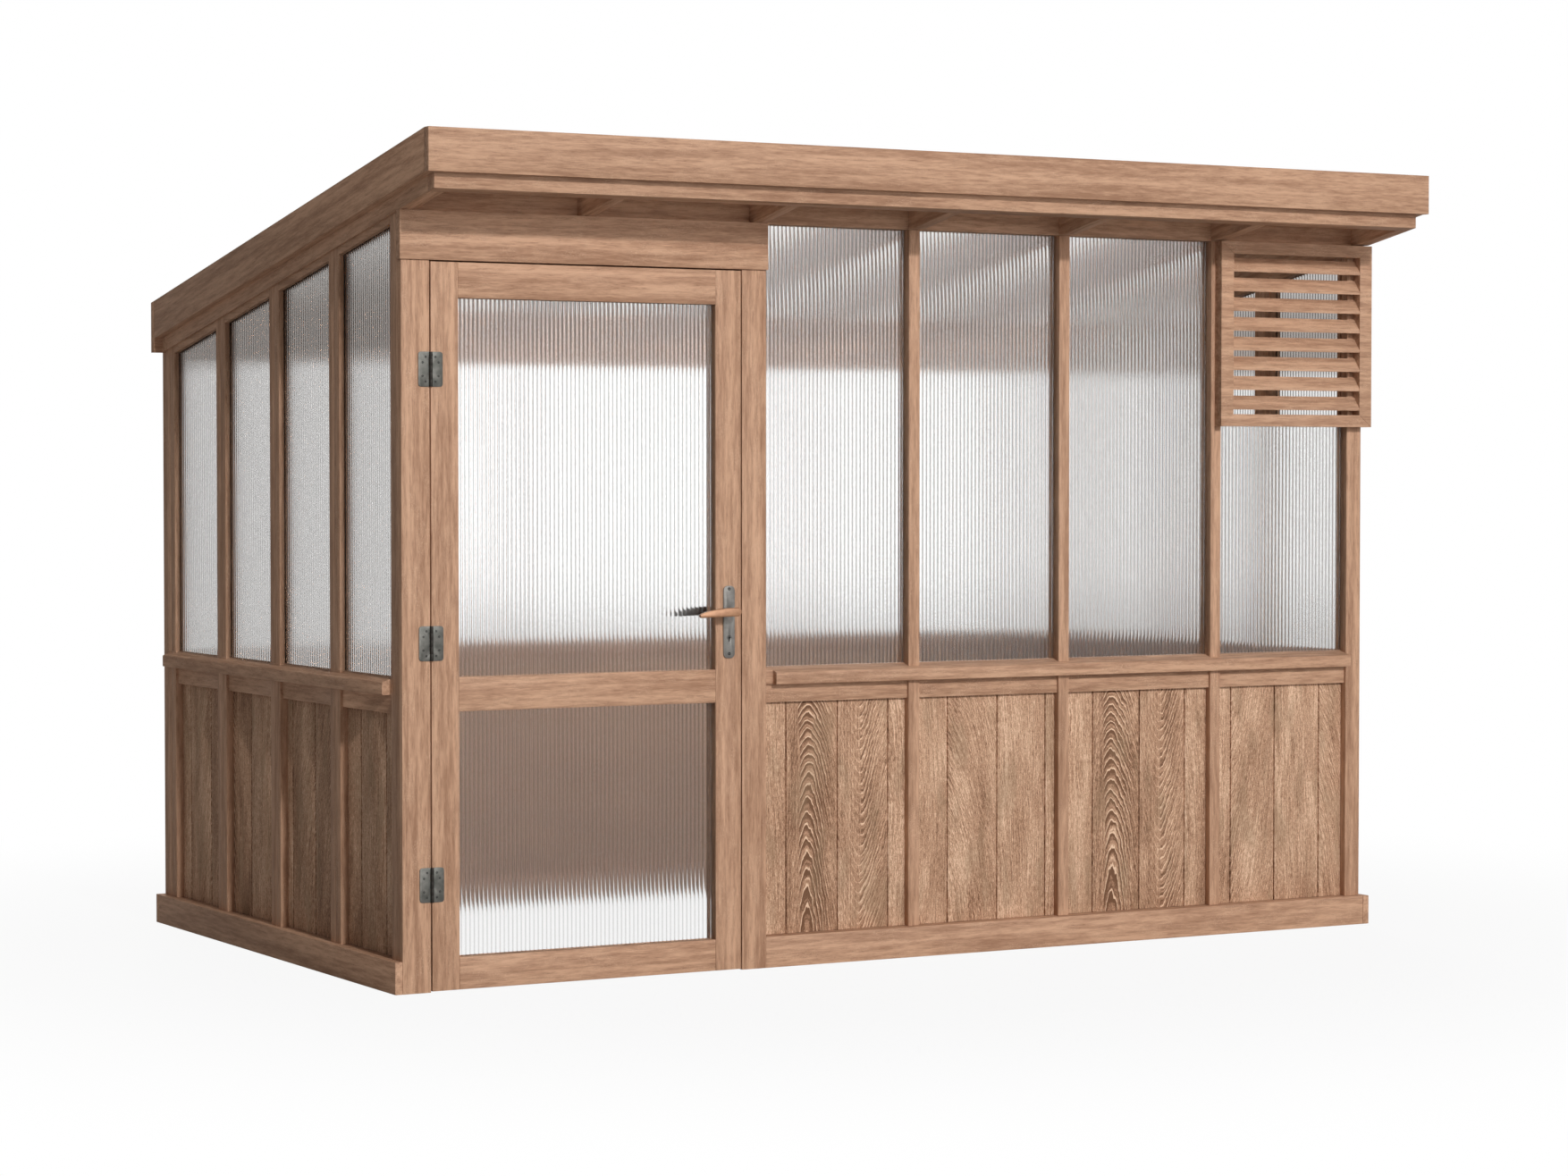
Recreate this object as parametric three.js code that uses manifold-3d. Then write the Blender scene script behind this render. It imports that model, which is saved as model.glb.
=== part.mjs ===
// Lean-to greenhouse: timber frame on a plinth, boarded below the sill and glazed with fluted sheet
// above it, with a hinged door, a louvre vent in the front wall and a sloping roof.
// Millimetres. X runs along the front wall, Y from the front wall's face to the rear, Z up.

import * as THREE from 'three';
import { mergeVertices } from 'three/addons/utils/BufferGeometryUtils.js';
import Module from 'manifold-3d';

const wasm = await Module();
wasm.setup();

// Clearances
const seat = 0.3; // left where two pieces touch
const running = 0.3; // round a hinge pin and between knuckles
const overrun = 3; // how far a cut passes the face that it opens
const grain = seat / 300; // vertices are rounded to this, so that faces meant to meet do meet

// Walls
const wallWidth = 3200;
const wallDepth = 1816;
const frameDepth = 50; // wall frames, outer face to inner face
const proud = 22; // plinth, door posts and sill noses stand out from the wall by this
const stileWidth = 36;
const jointWidth = 1.2; // line between two stiles that stand side by side
const jointDepth = 1.5;
const sideJointShares = [0.2428, 0.4884, 0.7252]; // of the wall's depth
const rearJointShares = [1 / 3, 2 / 3]; // of the wall's width
const railShow = 21; // top rail seen below the end rafter
const rearPostSize = 67;

// Plinth
const plinthHeight = 87;
const plinthUnder = 44; // part that lies under the wall

// Boarding
const boardSetback = 23; // behind the wall's face
const boardThickness = 18;
const boardGap = 4.5;
const boardTongue = 6;
const frontBoardShares = [ // of each bay's width
  [0.184, 0.534, 0.882], [0.227, 0.582, 0.932], [0.196, 0.524, 0.846], [0.119, 0.464, 0.819],
];
const sideBoardShares = [[0.249, 0.738], [0.449, 0.897], [0.147, 0.604], [0.332, 0.808]];
const rearBoardsPerBay = 6;

// Sill
const sillUnderside = 793.6;
const sillNoseThickness = 36.4;
const sillTop = 843;
const noseRadius = 7;
const noseSegments = 3;
const apronHeight = 50.6;
const apronSetback = 8;
const frontNoseStart = 33.8; // clear of the lock post
const frontNoseLap = 2.5; // over the corner post
const sideNoseStart = 11; // clear of the front post
const sideNoseLap = 21; // over the rear post
const rearNoseInset = 30;

// Glazing
const glassThickness = 6;
const glassGroove = 10;
const frontGlassSetback = 30;
const sideGlassSetback = 15;
const frontFlutePitch = 12.7;
const sideFlutePitch = 14;
const fluteHeight = 1.4;

// Front wall
const hingePostWidth = 81.8;
const doorOpening = 944.2;
const lockPostWidth = 76.2;
const mullionShares = [0.2429, 0.4938, 0.7599]; // of the clear width from lock post to corner post
const cornerPostWidth = 53.5;
const plateDrop = 198.5; // plate's underside below the roof's upper edge
const plateNotchHeight = 62.3; // rafters rest this far above the plate's underside

// Roof
const roofPitch = THREE.MathUtils.degToRad(10.05);
const roofTop = 2278.5; // upper edge of the front fascia
const frontOverhang = 281;
const sideOverhang = 33.2;
const rearOverhang = 12;
const fasciaThickness = 27;
const fasciaHeight = 115;
const rearFasciaHeight = 153;
const rafterDrop = 156; // underside of the rafters, straight down from the fascia's upper edge
const rimThickness = 40;
const endRafterWidth = 46.2;
const rafterWidth = 42;
const sheetDrop = 12;
const sheetThickness = 10;

// Door
const doorThickness = 44;
const doorGap = 4; // round the leaf
const floorGap = 3;
const doorStileWidth = 79.5;
const bottomRailHeight = 87;
const midRailFoot = 749;
const midRailHeight = 92;
const topRailHeight = 95;
const doorGlassSetback = 22;
const tenonLength = 30;
const tenonThickness = 15;
const tenonShoulder = 14;
const stopWidth = 12;
const headerHeight = 131;
const headerRise = 2; // above the plate's underside
const headerThickness = 26;
const headerProud = 6.5; // in front of the door's face
const headerLeftLap = 5; // past the hinge post
const headerRightLap = 4; // past the lock post

// Hinges
const hingeWidth = 70.5;
const hingeHeight = 93;
const hingePlate = 2.2;
const knuckleRadius = 4.5;
const pinRadius = 2.3;
const hingeCorner = 9;
const hingeCornerSegments = 4;
const knuckleCount = 5;
const knuckleSides = 12;
const hingeShares = { top: 0.853, middle: 0.478, bottom: 0.1466 }; // of the leaf's height

// Lock and levers
const leverInset = 39; // lever axis from the leaf's edge
const leverAboveRail = 161;
const keyBelowLever = 73.5;
const plateWidth = 35;
const plateHeight = 201;
const plateThickness = 4;
const plateCorner = 15;
const plateCornerSegments = 5;
const plateAboveLever = 71;
const keyRadius = 4;
const keySlot = 3.5;
const keySlotLength = 11;
const keySides = 16;
const neckRadius = 9;
const neckSides = 24;
const neckLength = 40; // from the plate to the grip's back
const gripLength = 118;
const gripHeight = 24;
const gripTipHeight = 12;
const gripThickness = 13;
const gripDrop = 9; // tip below the axis
const gripBevel = 3;
const gripBendShare = 0.6; // of the grip's length, where it starts to drop
const gripSegments = 8;
const gripBevelSegments = 2;
const spindleSide = 8;
const spindleClearance = 1;
const caseDepth = 66;
const caseHeight = 168;
const caseThickness = 15;
const caseAboveLever = 48;
const forendWidth = 22;
const forendThickness = 3;
const forendOver = 12; // beyond the case, at each end
const latchLength = 30;
const latchHeight = 16;
const latchThickness = 10;
const latchProud = 3;
const latchTravel = 3;
const deadBoltLength = 36;
const deadBoltHeight = 22;
const deadBoltThickness = 8;
const deadBoltTravel = 12;
const deadBoltBelowLever = 48;
const strikeThickness = 2.5;
const strikeWidth = 24;
const strikeHeight = 160;
const pocketClearance = 1.5; // round a bolt, and before its nose

// Louvre vent
const ventLeftLap = 22.5; // over the mullion
const ventRightLap = 14; // past the corner post
const ventSideWidth = 45;
const ventRailWidth = 36;
const ventDepth = 33;
const ventHeight = 552.5;
const ventBay = 3; // front bay that the vent closes at the top, counted from zero
const slatCount = 8;
const slatPitch = 59;
const slatFoot = 14; // first slat above the frame
const slatRise = 42;
const slatRun = 30.5;
const slatThickness = 8;
const slatHousing = 8;
const mitreWidth = 1;
const mitreDepth = 1;
const transomFoot = 10; // above the vent's lower edge

// Places worked out from the sizes
const plateUnderside = roofTop - plateDrop;
const headerTop = plateUnderside + headerRise;
const headerFoot = headerTop - headerHeight;
const doorTop = headerFoot - doorGap;
const leverHeight = midRailFoot + midRailHeight + leverAboveRail;
const lockPostLeft = hingePostWidth + doorOpening;
const lockPostRight = lockPostLeft + lockPostWidth;
const cornerPostLeft = wallWidth - cornerPostWidth;
const clearWidth = cornerPostLeft - lockPostRight;
const mullionCentres = mullionShares.map((share) => lockPostRight + share * clearWidth);
const plinthTop = plinthHeight + seat;
const fasciaBack = fasciaThickness - frontOverhang;
const rimBack = fasciaBack + rimThickness;
const rearFasciaFront = wallDepth + rearOverhang - fasciaThickness;
const rearRimFront = rearFasciaFront - rimThickness;
const endRafterInner = endRafterWidth - sideOverhang + fasciaThickness;
const leafLeft = hingePostWidth + doorGap;
const leafRight = lockPostLeft - doorGap;
const leafFront = -proud;
const leafBack = leafFront + doorThickness;
const leafHeight = doorTop - floorGap;
const leafMiddle = leafFront + doorThickness / 2;
const headerFront = leafFront - headerProud;
const headerBack = headerFront + headerThickness;
const leverX = leafRight - leverInset;
const spindleReach = spindleSide * Math.SQRT1_2 + spindleClearance; // radius swept by the square spindle
const caseMiddle = leverHeight + caseAboveLever - caseHeight / 2;
const deadBoltMiddle = leverHeight - deadBoltBelowLever;
const strikeMiddle = leverHeight - deadBoltBelowLever / 2;
const hingeX = hingePostWidth + doorGap / 2;
const hingeY = leafFront - seat - knuckleRadius;
const ventLeft = mullionCentres[2] + stileWidth / 2 - ventLeftLap - seat;
const ventRight = wallWidth + ventRightLap;
const ventTop = plateUnderside - seat;
const ventFoot = ventTop - ventHeight;
const transomUnderside = ventFoot + transomFoot;
const rearEaves = roofLine(wallDepth + rearOverhang) - rearFasciaHeight;
const underSheet = sheetDrop + sheetThickness + seat;
const rimOver = sideOverhang - fasciaThickness - seat; // rims and sheet pass the walls by this
const railLevels = {
  bottom: [floorGap, floorGap + bottomRailHeight],
  mid: [midRailFoot, midRailFoot + midRailHeight],
  top: [doorTop - topRailHeight, doorTop],
};

// Finishes
const timber = new THREE.MeshStandardMaterial({ color: 0xc1967a, roughness: 0.72, metalness: 0 });
const boards = new THREE.MeshStandardMaterial({ color: 0xb88a6c, roughness: 0.8, metalness: 0 });
const reededGlass = new THREE.MeshStandardMaterial({
  color: 0xe6ecea, roughness: 0.18, metalness: 0, transparent: true, opacity: 0.4,
});
const steel = new THREE.MeshStandardMaterial({ color: 0x8c8e8a, roughness: 0.42, metalness: 0.85 });
const hingeSteel = new THREE.MeshStandardMaterial({ color: 0x70726e, roughness: 0.55, metalness: 0.7 });
const darkSteel = new THREE.MeshStandardMaterial({ color: 0x46484a, roughness: 0.5, metalness: 0.7 });
const bronze = new THREE.MeshStandardMaterial({ color: 0xb5875f, roughness: 0.4, metalness: 0.3 });

// Height of the roof's upper edge at a distance behind the front wall's face
function roofLine(y) {
  return roofTop - (y - (fasciaThickness - frontOverhang)) * Math.tan(roofPitch);
}

function around(middle, width) {
  return [middle - width / 2, middle + width / 2];
}

function ordered(a, b) {
  return a < b ? [a, b] : [b, a];
}

// Depth of the groove that holds a pane set back by this much
function paneDepth(setback) {
  return [setback - seat, setback + glassThickness + seat];
}

// Closed solid from a geometry, for cutting and joining
function toSolid(geometry) {
  const bare = geometry.index ? geometry.toNonIndexed() : geometry.clone();
  bare.deleteAttribute('normal');
  bare.deleteAttribute('uv');
  const position = bare.attributes.position;
  for (let i = 0; i < position.array.length; i += 1) {
    position.array[i] = Math.round(position.array[i] / grain) * grain;
  }
  const merged = mergeVertices(bare, grain / 2);
  const mesh = new wasm.Mesh({
    numProp: 3,
    vertProperties: new Float32Array(merged.attributes.position.array),
    triVerts: new Uint32Array(merged.index.array),
  });
  return new wasm.Manifold(mesh);
}

function toGeometry(solid) {
  const mesh = solid.getMesh();
  const geometry = new THREE.BufferGeometry();
  geometry.setAttribute('position', new THREE.BufferAttribute(mesh.vertProperties, 3));
  geometry.setIndex(new THREE.BufferAttribute(mesh.triVerts, 1));
  geometry.computeVertexNormals();
  return geometry;
}

// Box between two limits on each axis
function block([x0, x1], [y0, y1], [z0, z1]) {
  const geometry = new THREE.BoxGeometry(x1 - x0, y1 - y0, z1 - z0);
  geometry.translate((x0 + x1) / 2, (y0 + y1) / 2, (z0 + z1) / 2);
  return toSolid(geometry);
}

function shapeOf(points) {
  return new THREE.Shape(points.map(([a, b]) => new THREE.Vector2(a, b)));
}

// Outline in Y and Z, drawn out along X
function alongX(points, [x0, x1]) {
  const geometry = new THREE.ExtrudeGeometry(shapeOf(points), { depth: x1 - x0, bevelEnabled: false });
  const turn = new THREE.Matrix4().makeBasis(
    new THREE.Vector3(0, 1, 0), new THREE.Vector3(0, 0, 1), new THREE.Vector3(1, 0, 0));
  geometry.applyMatrix4(turn);
  geometry.translate(x0, 0, 0);
  return toSolid(geometry);
}

// Outline in X and Z, drawn out along Y
function alongY(shape, [y0, y1], curveSegments = 8) {
  const geometry = new THREE.ExtrudeGeometry(shape, { depth: y1 - y0, bevelEnabled: false, curveSegments });
  geometry.rotateX(Math.PI / 2);
  geometry.translate(0, y1, 0);
  return toSolid(geometry);
}

// Outline in X and Y, drawn out along Z
function alongZ(points, [z0, z1]) {
  const geometry = new THREE.ExtrudeGeometry(shapeOf(points), { depth: z1 - z0, bevelEnabled: false });
  geometry.translate(0, 0, z0);
  return toSolid(geometry);
}

// Round bar along Z or along Y
function barAlongZ(radius, [z0, z1], x, y, sides) {
  const geometry = new THREE.CylinderGeometry(radius, radius, z1 - z0, sides);
  geometry.rotateX(Math.PI / 2);
  geometry.translate(x, y, (z0 + z1) / 2);
  return toSolid(geometry);
}

function barAlongY(radius, [y0, y1], x, z, sides) {
  const geometry = new THREE.CylinderGeometry(radius, radius, y1 - y0, sides);
  geometry.translate(x, (y0 + y1) / 2, z);
  return toSolid(geometry);
}

function joined(solids) {
  return solids.reduce((whole, solid) => whole.add(solid));
}

function cut(solid, cutters) {
  return cutters.reduce((rest, cutter) => rest.subtract(cutter), solid);
}

// Solid from a reflected geometry, its facets turned to face outwards again
function toTurnedSolid(geometry) {
  const index = geometry.index.array;
  for (let i = 0; i < index.length; i += 3) {
    [index[i], index[i + 1]] = [index[i + 1], index[i]];
  }
  return toSolid(geometry);
}

// The same solid on the other side of the greenhouse
function mirrored(solid) {
  const geometry = toGeometry(solid);
  geometry.scale(-1, 1, 1);
  geometry.translate(wallWidth, 0, 0);
  return toTurnedSolid(geometry);
}

// A wall drawn like the left one, to stand at the front
function turnedToFront(solid) {
  const geometry = toGeometry(solid);
  geometry.rotateZ(-Math.PI / 2);
  geometry.scale(1, -1, 1);
  return toTurnedSolid(geometry);
}

// A wall drawn like the left one, to stand at the rear
function turnedToRear(solid) {
  const geometry = toGeometry(solid);
  geometry.rotateZ(-Math.PI / 2);
  geometry.translate(0, wallDepth, 0);
  return toSolid(geometry);
}

function piece(name, solid, material, place = new THREE.Vector3()) {
  const mesh = new THREE.Mesh(toGeometry(solid), material);
  mesh.name = name;
  mesh.position.copy(place);
  return mesh;
}

// Band under the roof between two depths below its upper edge
function roofBand([y0, y1], upper, lower) {
  return [
    [y0, roofLine(y0) - lower], [y1, roofLine(y1) - lower],
    [y1, roofLine(y1) - upper], [y0, roofLine(y0) - upper],
  ];
}

// Plinth bearers
function plinthFront() {
  return block([lockPostRight + seat, wallWidth - seat], [-proud, plinthUnder], [0, plinthHeight]);
}

function plinthSide(innerStart) {
  return alongZ([
    [-proud, -proud], [-seat, -proud], [-seat, innerStart], [plinthUnder, innerStart],
    [plinthUnder, wallDepth - seat], [-proud, wallDepth - seat],
  ], [0, plinthHeight]);
}

function plinthRear() {
  const inner = plinthUnder + seat;
  return alongZ([
    [-proud, wallDepth], [inner, wallDepth], [inner, wallDepth - plinthUnder],
    [wallWidth - inner, wallDepth - plinthUnder], [wallWidth - inner, wallDepth],
    [wallWidth + proud, wallDepth], [wallWidth + proud, wallDepth + proud], [-proud, wallDepth + proud],
  ], [0, plinthHeight]);
}

// Everything under an end rafter stops below this
function underEndRafter() {
  const span = [-frontOverhang, wallDepth + overrun];
  return alongX(roofBand(span, 0, rafterDrop + seat), [-sideOverhang, endRafterInner + seat]);
}

// Groove for a pane in an upright of the front wall, opening to the right or to the left
function paneGroove(edge, towards) {
  return block(ordered(edge - towards * glassGroove, edge + towards * overrun), paneDepth(frontGlassSetback),
    [sillTop, roofTop]);
}

// Door posts, notched at the top for the header board, with a bead that the leaf shuts against
function doorPost(left, right, beadSide) {
  const edge = beadSide > 0 ? right : left;
  const bead = [edge - stopWidth, edge + stopWidth];
  const beadBack = [leafBack + seat, frameDepth];
  return cut(joined([
    block([left, right], [-proud, frameDepth], [0, plateUnderside - seat]),
    block(bead, beadBack, [floorGap, headerFoot - seat]),
  ]), [
    block([left - overrun, right + overrun], [-proud - overrun, headerBack + seat],
      [headerFoot - seat, roofTop]),
  ]);
}

function doorHingePost() {
  return doorPost(0, hingePostWidth, 1).subtract(underEndRafter());
}

function doorLockPost() {
  return cut(doorPost(lockPostLeft, lockPostRight, -1), [
    paneGroove(lockPostRight, 1),
    block([lockPostLeft - overrun, lockPostLeft + strikeThickness + seat],
      around(leafMiddle, strikeWidth + 2 * seat), around(strikeMiddle, strikeHeight + 2 * seat)),
    boltPocket(leverHeight, latchThickness, latchHeight, pocketClearance),
    boltPocket(deadBoltMiddle, deadBoltThickness, deadBoltHeight, pocketClearance),
  ]);
}

// Pocket that a bolt enters, through the strike and into the lock post
function boltPocket(height, thickness, tall, clearance) {
  return block([lockPostLeft - overrun, leafRight + deadBoltTravel + pocketClearance],
    around(leafMiddle, thickness + 2 * clearance), around(height, tall + 2 * clearance));
}

function cornerPostFrontRight() {
  return cut(block([cornerPostLeft, wallWidth], [0, frameDepth], [plinthTop, plateUnderside - seat]), [
    paneGroove(cornerPostLeft, -1),
    mirrored(underEndRafter()),
  ]);
}

// Board over the door, lapped onto both posts, with the head that fills the frame behind it
function doorHeader() {
  return joined([
    block([-headerLeftLap, lockPostRight + headerRightLap], [headerFront, headerBack],
      [headerFoot, headerTop]),
    block([hingePostWidth + seat, lockPostLeft - seat], [headerBack - seat, frameDepth],
      [headerFoot, plateUnderside - seat]),
    block([hingePostWidth + stopWidth + seat, lockPostLeft - stopWidth - seat],
      [leafBack + seat, frameDepth], [headerFoot - stopWidth, headerFoot + seat]),
  ]);
}

// Front mullion about its own centre line: full depth above the sill, shallow below it
function frontMullion() {
  const half = stileWidth / 2;
  return cut(joined([
    block([-half, half], [0, frameDepth], [sillTop + seat, plateUnderside - seat]),
    block([-half, half], [0, boardSetback - seat], [plinthTop, sillTop + 2 * seat]),
  ]), [paneGroove(half, 1), paneGroove(-half, -1)]);
}

// Plate above the glass, notched for the rafters
function frontTopPlate() {
  const ends = [endRafterInner + seat, wallWidth - endRafterInner - seat];
  const outline = [
    [0, plateUnderside], [frameDepth, plateUnderside],
    [frameDepth, roofLine(frameDepth) - underSheet], [0, roofLine(0) - underSheet],
  ];
  const notches = rafterCentres().map((centre) => block(around(centre, rafterWidth + 2 * seat),
    [-overrun, frameDepth + overrun], [plateUnderside + plateNotchHeight, roofTop]));
  return cut(alongX(outline, ends), [
    ...notches,
    block([lockPostRight - glassGroove, cornerPostLeft + glassGroove], paneDepth(frontGlassSetback),
      [plateUnderside - overrun, plateUnderside + glassGroove]),
  ]);
}

// Sill section, outwards from the wall and up: rounded nose, weathered top, flat seat for the glass
function sillSection(glassSetback, depth) {
  const nose = new THREE.Shape();
  nose.moveTo(depth, sillUnderside);
  nose.lineTo(depth, sillTop);
  nose.lineTo(glassSetback, sillTop);
  nose.lineTo(noseRadius - proud, sillUnderside + sillNoseThickness);
  nose.quadraticCurveTo(-proud, sillUnderside + sillNoseThickness, -proud,
    sillUnderside + sillNoseThickness - noseRadius);
  nose.lineTo(-proud, sillUnderside + noseRadius / 2);
  nose.quadraticCurveTo(-proud, sillUnderside, noseRadius / 2 - proud, sillUnderside);
  nose.closePath();
  return nose;
}

// Sill with its nose between two limits and its body between two others
function sillAlongY(glassSetback, body, noseSpan) {
  const whole = [Math.min(body[0], noseSpan[0]), Math.max(body[1], noseSpan[1])];
  const bar = alongY(sillSection(glassSetback, frameDepth), whole, noseSegments);
  const tall = [sillUnderside - overrun, sillTop + overrun];
  const out = [-proud - overrun, 0];
  const cutters = [];
  if (noseSpan[0] > whole[0]) cutters.push(block(out, [whole[0] - overrun, noseSpan[0]], tall));
  if (noseSpan[1] < whole[1]) cutters.push(block(out, [noseSpan[1], whole[1] + overrun], tall));
  if (noseSpan[1] > body[1]) {
    cutters.push(block([-seat, frameDepth + overrun], [body[1], whole[1] + overrun], tall));
  }
  return cut(bar, cutters);
}

function frontSill() {
  const body = [lockPostRight + seat, cornerPostLeft - seat];
  const nose = [lockPostRight + frontNoseStart, cornerPostLeft + frontNoseLap];
  const bar = turnedToFront(sillAlongY(frontGlassSetback, body, nose));
  const apron = block(body, [apronSetback, boardSetback - seat],
    [sillUnderside - apronHeight, sillUnderside + seat]);
  const notches = mullionCentres.map((centre) => block(around(centre, stileWidth + 2 * seat),
    [-seat, boardSetback], [sillUnderside - apronHeight - overrun, sillTop + overrun]));
  return cut(bar.add(apron), notches);
}

// Boards between two limits along Y, with a gap and a tongue at each joint
function boardsAlongY([start, end], joints) {
  const panel = block([boardSetback, boardSetback + boardThickness], [start, end],
    [plinthTop, sillUnderside - seat]);
  const groove = (boardThickness - boardTongue) / 2;
  const tall = [plinthTop - overrun, sillUnderside + overrun];
  const cutters = joints.flatMap((joint) => [
    block([boardSetback - overrun, boardSetback + groove], around(joint, boardGap), tall),
    block([boardSetback + boardThickness - groove, boardSetback + boardThickness + overrun],
      around(joint, boardGap), tall),
  ]);
  return cut(panel, cutters);
}

function jointsOf(bays, shares) {
  return bays.flatMap(([from, to], bay) => shares[bay].map((share) => from + share * (to - from)));
}

function frontBays() {
  const half = stileWidth / 2;
  const lefts = [lockPostRight, ...mullionCentres.map((centre) => centre + half)];
  const rights = [...mullionCentres.map((centre) => centre - half), cornerPostLeft];
  return lefts.map((left, bay) => [left, rights[bay]]);
}

function sideBays() {
  const centres = sideJointShares.map((share) => share * wallDepth);
  const starts = [frameDepth, ...centres.map((centre) => centre + stileWidth)];
  const ends = [...centres.map((centre) => centre - stileWidth), wallDepth - rearPostSize - stileWidth];
  return starts.map((start, bay) => [start, ends[bay]]);
}

function rearBays() {
  const centres = rearJointShares.map((share) => share * wallWidth);
  const starts = [rearPostSize, ...centres.map((centre) => centre + stileWidth)];
  const ends = [...centres.map((centre) => centre - stileWidth), wallWidth - rearPostSize];
  return starts.map((start, bay) => [start, ends[bay]]);
}

// Fluted sheet: flat at the back, a row of ridges in front
function flutedOutline([start, end], setback, pitch) {
  const count = Math.max(1, Math.round((end - start) / pitch));
  const step = (end - start) / count;
  const points = [[start, setback + glassThickness], [start, setback + fluteHeight]];
  for (let i = 0; i < count; i += 1) {
    points.push([start + (i + 0.5) * step, setback]);
    points.push([start + (i + 1) * step, setback + fluteHeight]);
  }
  points.push([end, setback + glassThickness]);
  return points;
}

// Fluted pane along X, its ridges to the front
function paneAlongX(span, setback, pitch, tall) {
  return alongZ(flutedOutline(span, setback, pitch), tall);
}

// Fluted sheet along Y, its ridges to the left
function paneAlongY(span, setback, pitch, tall) {
  return alongZ(flutedOutline(span, setback, pitch).map(([along, out]) => [out, along]), tall);
}

// End wall frame, drawn for the left wall
function sideFrame() {
  const start = frameDepth + seat;
  const end = wallDepth - rearPostSize - seat;
  const under = rafterDrop + seat;
  const soffit = rafterDrop + railShow;
  const bays = sideBays();
  const panel = alongX([
    [start, plinthTop], [end, plinthTop], [end, roofLine(end) - under], [start, roofLine(start) - under],
  ], [0, frameDepth]);
  const holes = bays.map(([from, to], bay) => {
    const near = bay === 0 ? from - overrun : from;
    return alongX([
      [near, plinthTop - overrun], [to, plinthTop - overrun],
      [to, roofLine(to) - soffit], [near, roofLine(near) - soffit],
    ], [-overrun, frameDepth + overrun]);
  });
  const lowerBack = block([boardSetback - seat, frameDepth + overrun], [start - overrun, end + overrun],
    [plinthTop - overrun, sillUnderside]);
  const slotEnd = bays[bays.length - 1][1] + glassGroove;
  const slotTop = soffit - glassGroove;
  const slot = alongX([
    [start - overrun, sillTop], [slotEnd, sillTop],
    [slotEnd, roofLine(slotEnd) - slotTop], [start - overrun, roofLine(start - overrun) - slotTop],
  ], paneDepth(sideGlassSetback));
  const apron = block([apronSetback, boardSetback - seat], [start, end],
    [sillUnderside - apronHeight, sillUnderside + seat]);
  const sill = sillAlongY(sideGlassSetback, [start, end], [start + sideNoseStart, end + sideNoseLap]);
  const frame = cut(panel, [...holes, lowerBack]).add(apron).add(sill);
  return cut(frame, [slot, ...stileJoints(sideJointShares.map((share) => share * wallDepth))]);
}

// Fine line down the middle of each doubled stile
function stileJoints(centres) {
  return centres.flatMap((centre) => [
    block([-overrun, jointDepth], around(centre, jointWidth), [sillTop, roofTop]),
    block([-overrun, jointDepth], around(centre, jointWidth),
      [plinthTop - overrun, sillUnderside - apronHeight]),
  ]);
}

function sideGlazing() {
  const bays = sideBays();
  const span = [frameDepth + seat, bays[bays.length - 1][1] + glassGroove - seat];
  const drop = rafterDrop + railShow - glassGroove + seat;
  const sheet = paneAlongY(span, sideGlassSetback, sideFlutePitch, [sillTop + seat, roofTop]);
  const above = alongX(roofBand([span[0] - overrun, span[1] + overrun], -roofTop, drop), [0, frameDepth]);
  return sheet.subtract(above);
}

function sideBoards() {
  return boardsAlongY([frameDepth + seat, wallDepth - rearPostSize - seat],
    jointsOf(sideBays(), sideBoardShares));
}

// Rear wall frame with both corner posts, drawn along Y and then turned
function rearFrame() {
  const bays = rearBays();
  const top = roofLine(wallDepth - rearPostSize) - rafterDrop;
  const soffit = rearEaves - railShow;
  const span = [rearPostSize / 2, wallWidth - rearPostSize / 2];
  const panel = block([0, frameDepth], span, [plinthTop, top]);
  const holes = bays.map((bay) => block([-overrun, frameDepth + overrun], bay,
    [plinthTop - overrun, soffit]));
  const lowerBack = block([boardSetback - seat, frameDepth + overrun], [-overrun, wallWidth + overrun],
    [plinthTop - overrun, sillUnderside]);
  const apron = block([apronSetback, boardSetback - seat], span,
    [sillUnderside - apronHeight, sillUnderside + seat]);
  const posts = [[0, rearPostSize], [wallWidth - rearPostSize, wallWidth]]
    .map((width) => block([0, rearPostSize], width, [plinthTop, top]));
  const sill = sillAlongY(sideGlassSetback, span, [rearNoseInset, wallWidth - rearNoseInset]);
  const slot = block(paneDepth(sideGlassSetback),
    [rearPostSize - glassGroove, wallWidth - rearPostSize + glassGroove], [sillTop, soffit + glassGroove]);
  const frame = joined([cut(panel, [...holes, lowerBack]), apron, sill, ...posts]);
  const joints = stileJoints(rearJointShares.map((share) => share * wallWidth));
  return turnedToRear(cut(frame, [slot, ...joints])).subtract(aboveRearWall());
}

// Space that the roof takes above the rear wall
function aboveRearWall() {
  const back = rearFasciaFront - seat;
  const under = rafterDrop + seat;
  const front = wallDepth - rearPostSize - overrun;
  return alongX([
    [front, roofLine(front) - under], [back, roofLine(back) - under], [back, rearEaves - seat],
    [wallDepth + overrun, rearEaves - seat], [wallDepth + overrun, roofTop], [front, roofTop],
  ], [-overrun, wallWidth + overrun]);
}

function rearGlazing() {
  const span = [rearPostSize - glassGroove + seat, wallWidth - rearPostSize + glassGroove - seat];
  const tall = [sillTop + seat, rearEaves - railShow + glassGroove - seat];
  return turnedToRear(paneAlongY(span, sideGlassSetback, sideFlutePitch, tall));
}

function rearBoards() {
  const shares = Array.from({ length: rearBoardsPerBay }, (_, i) => (i + 0.5) / rearBoardsPerBay);
  return turnedToRear(boardsAlongY([rearPostSize + seat, wallWidth - rearPostSize - seat],
    jointsOf(rearBays(), rearBays().map(() => shares))));
}

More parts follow.
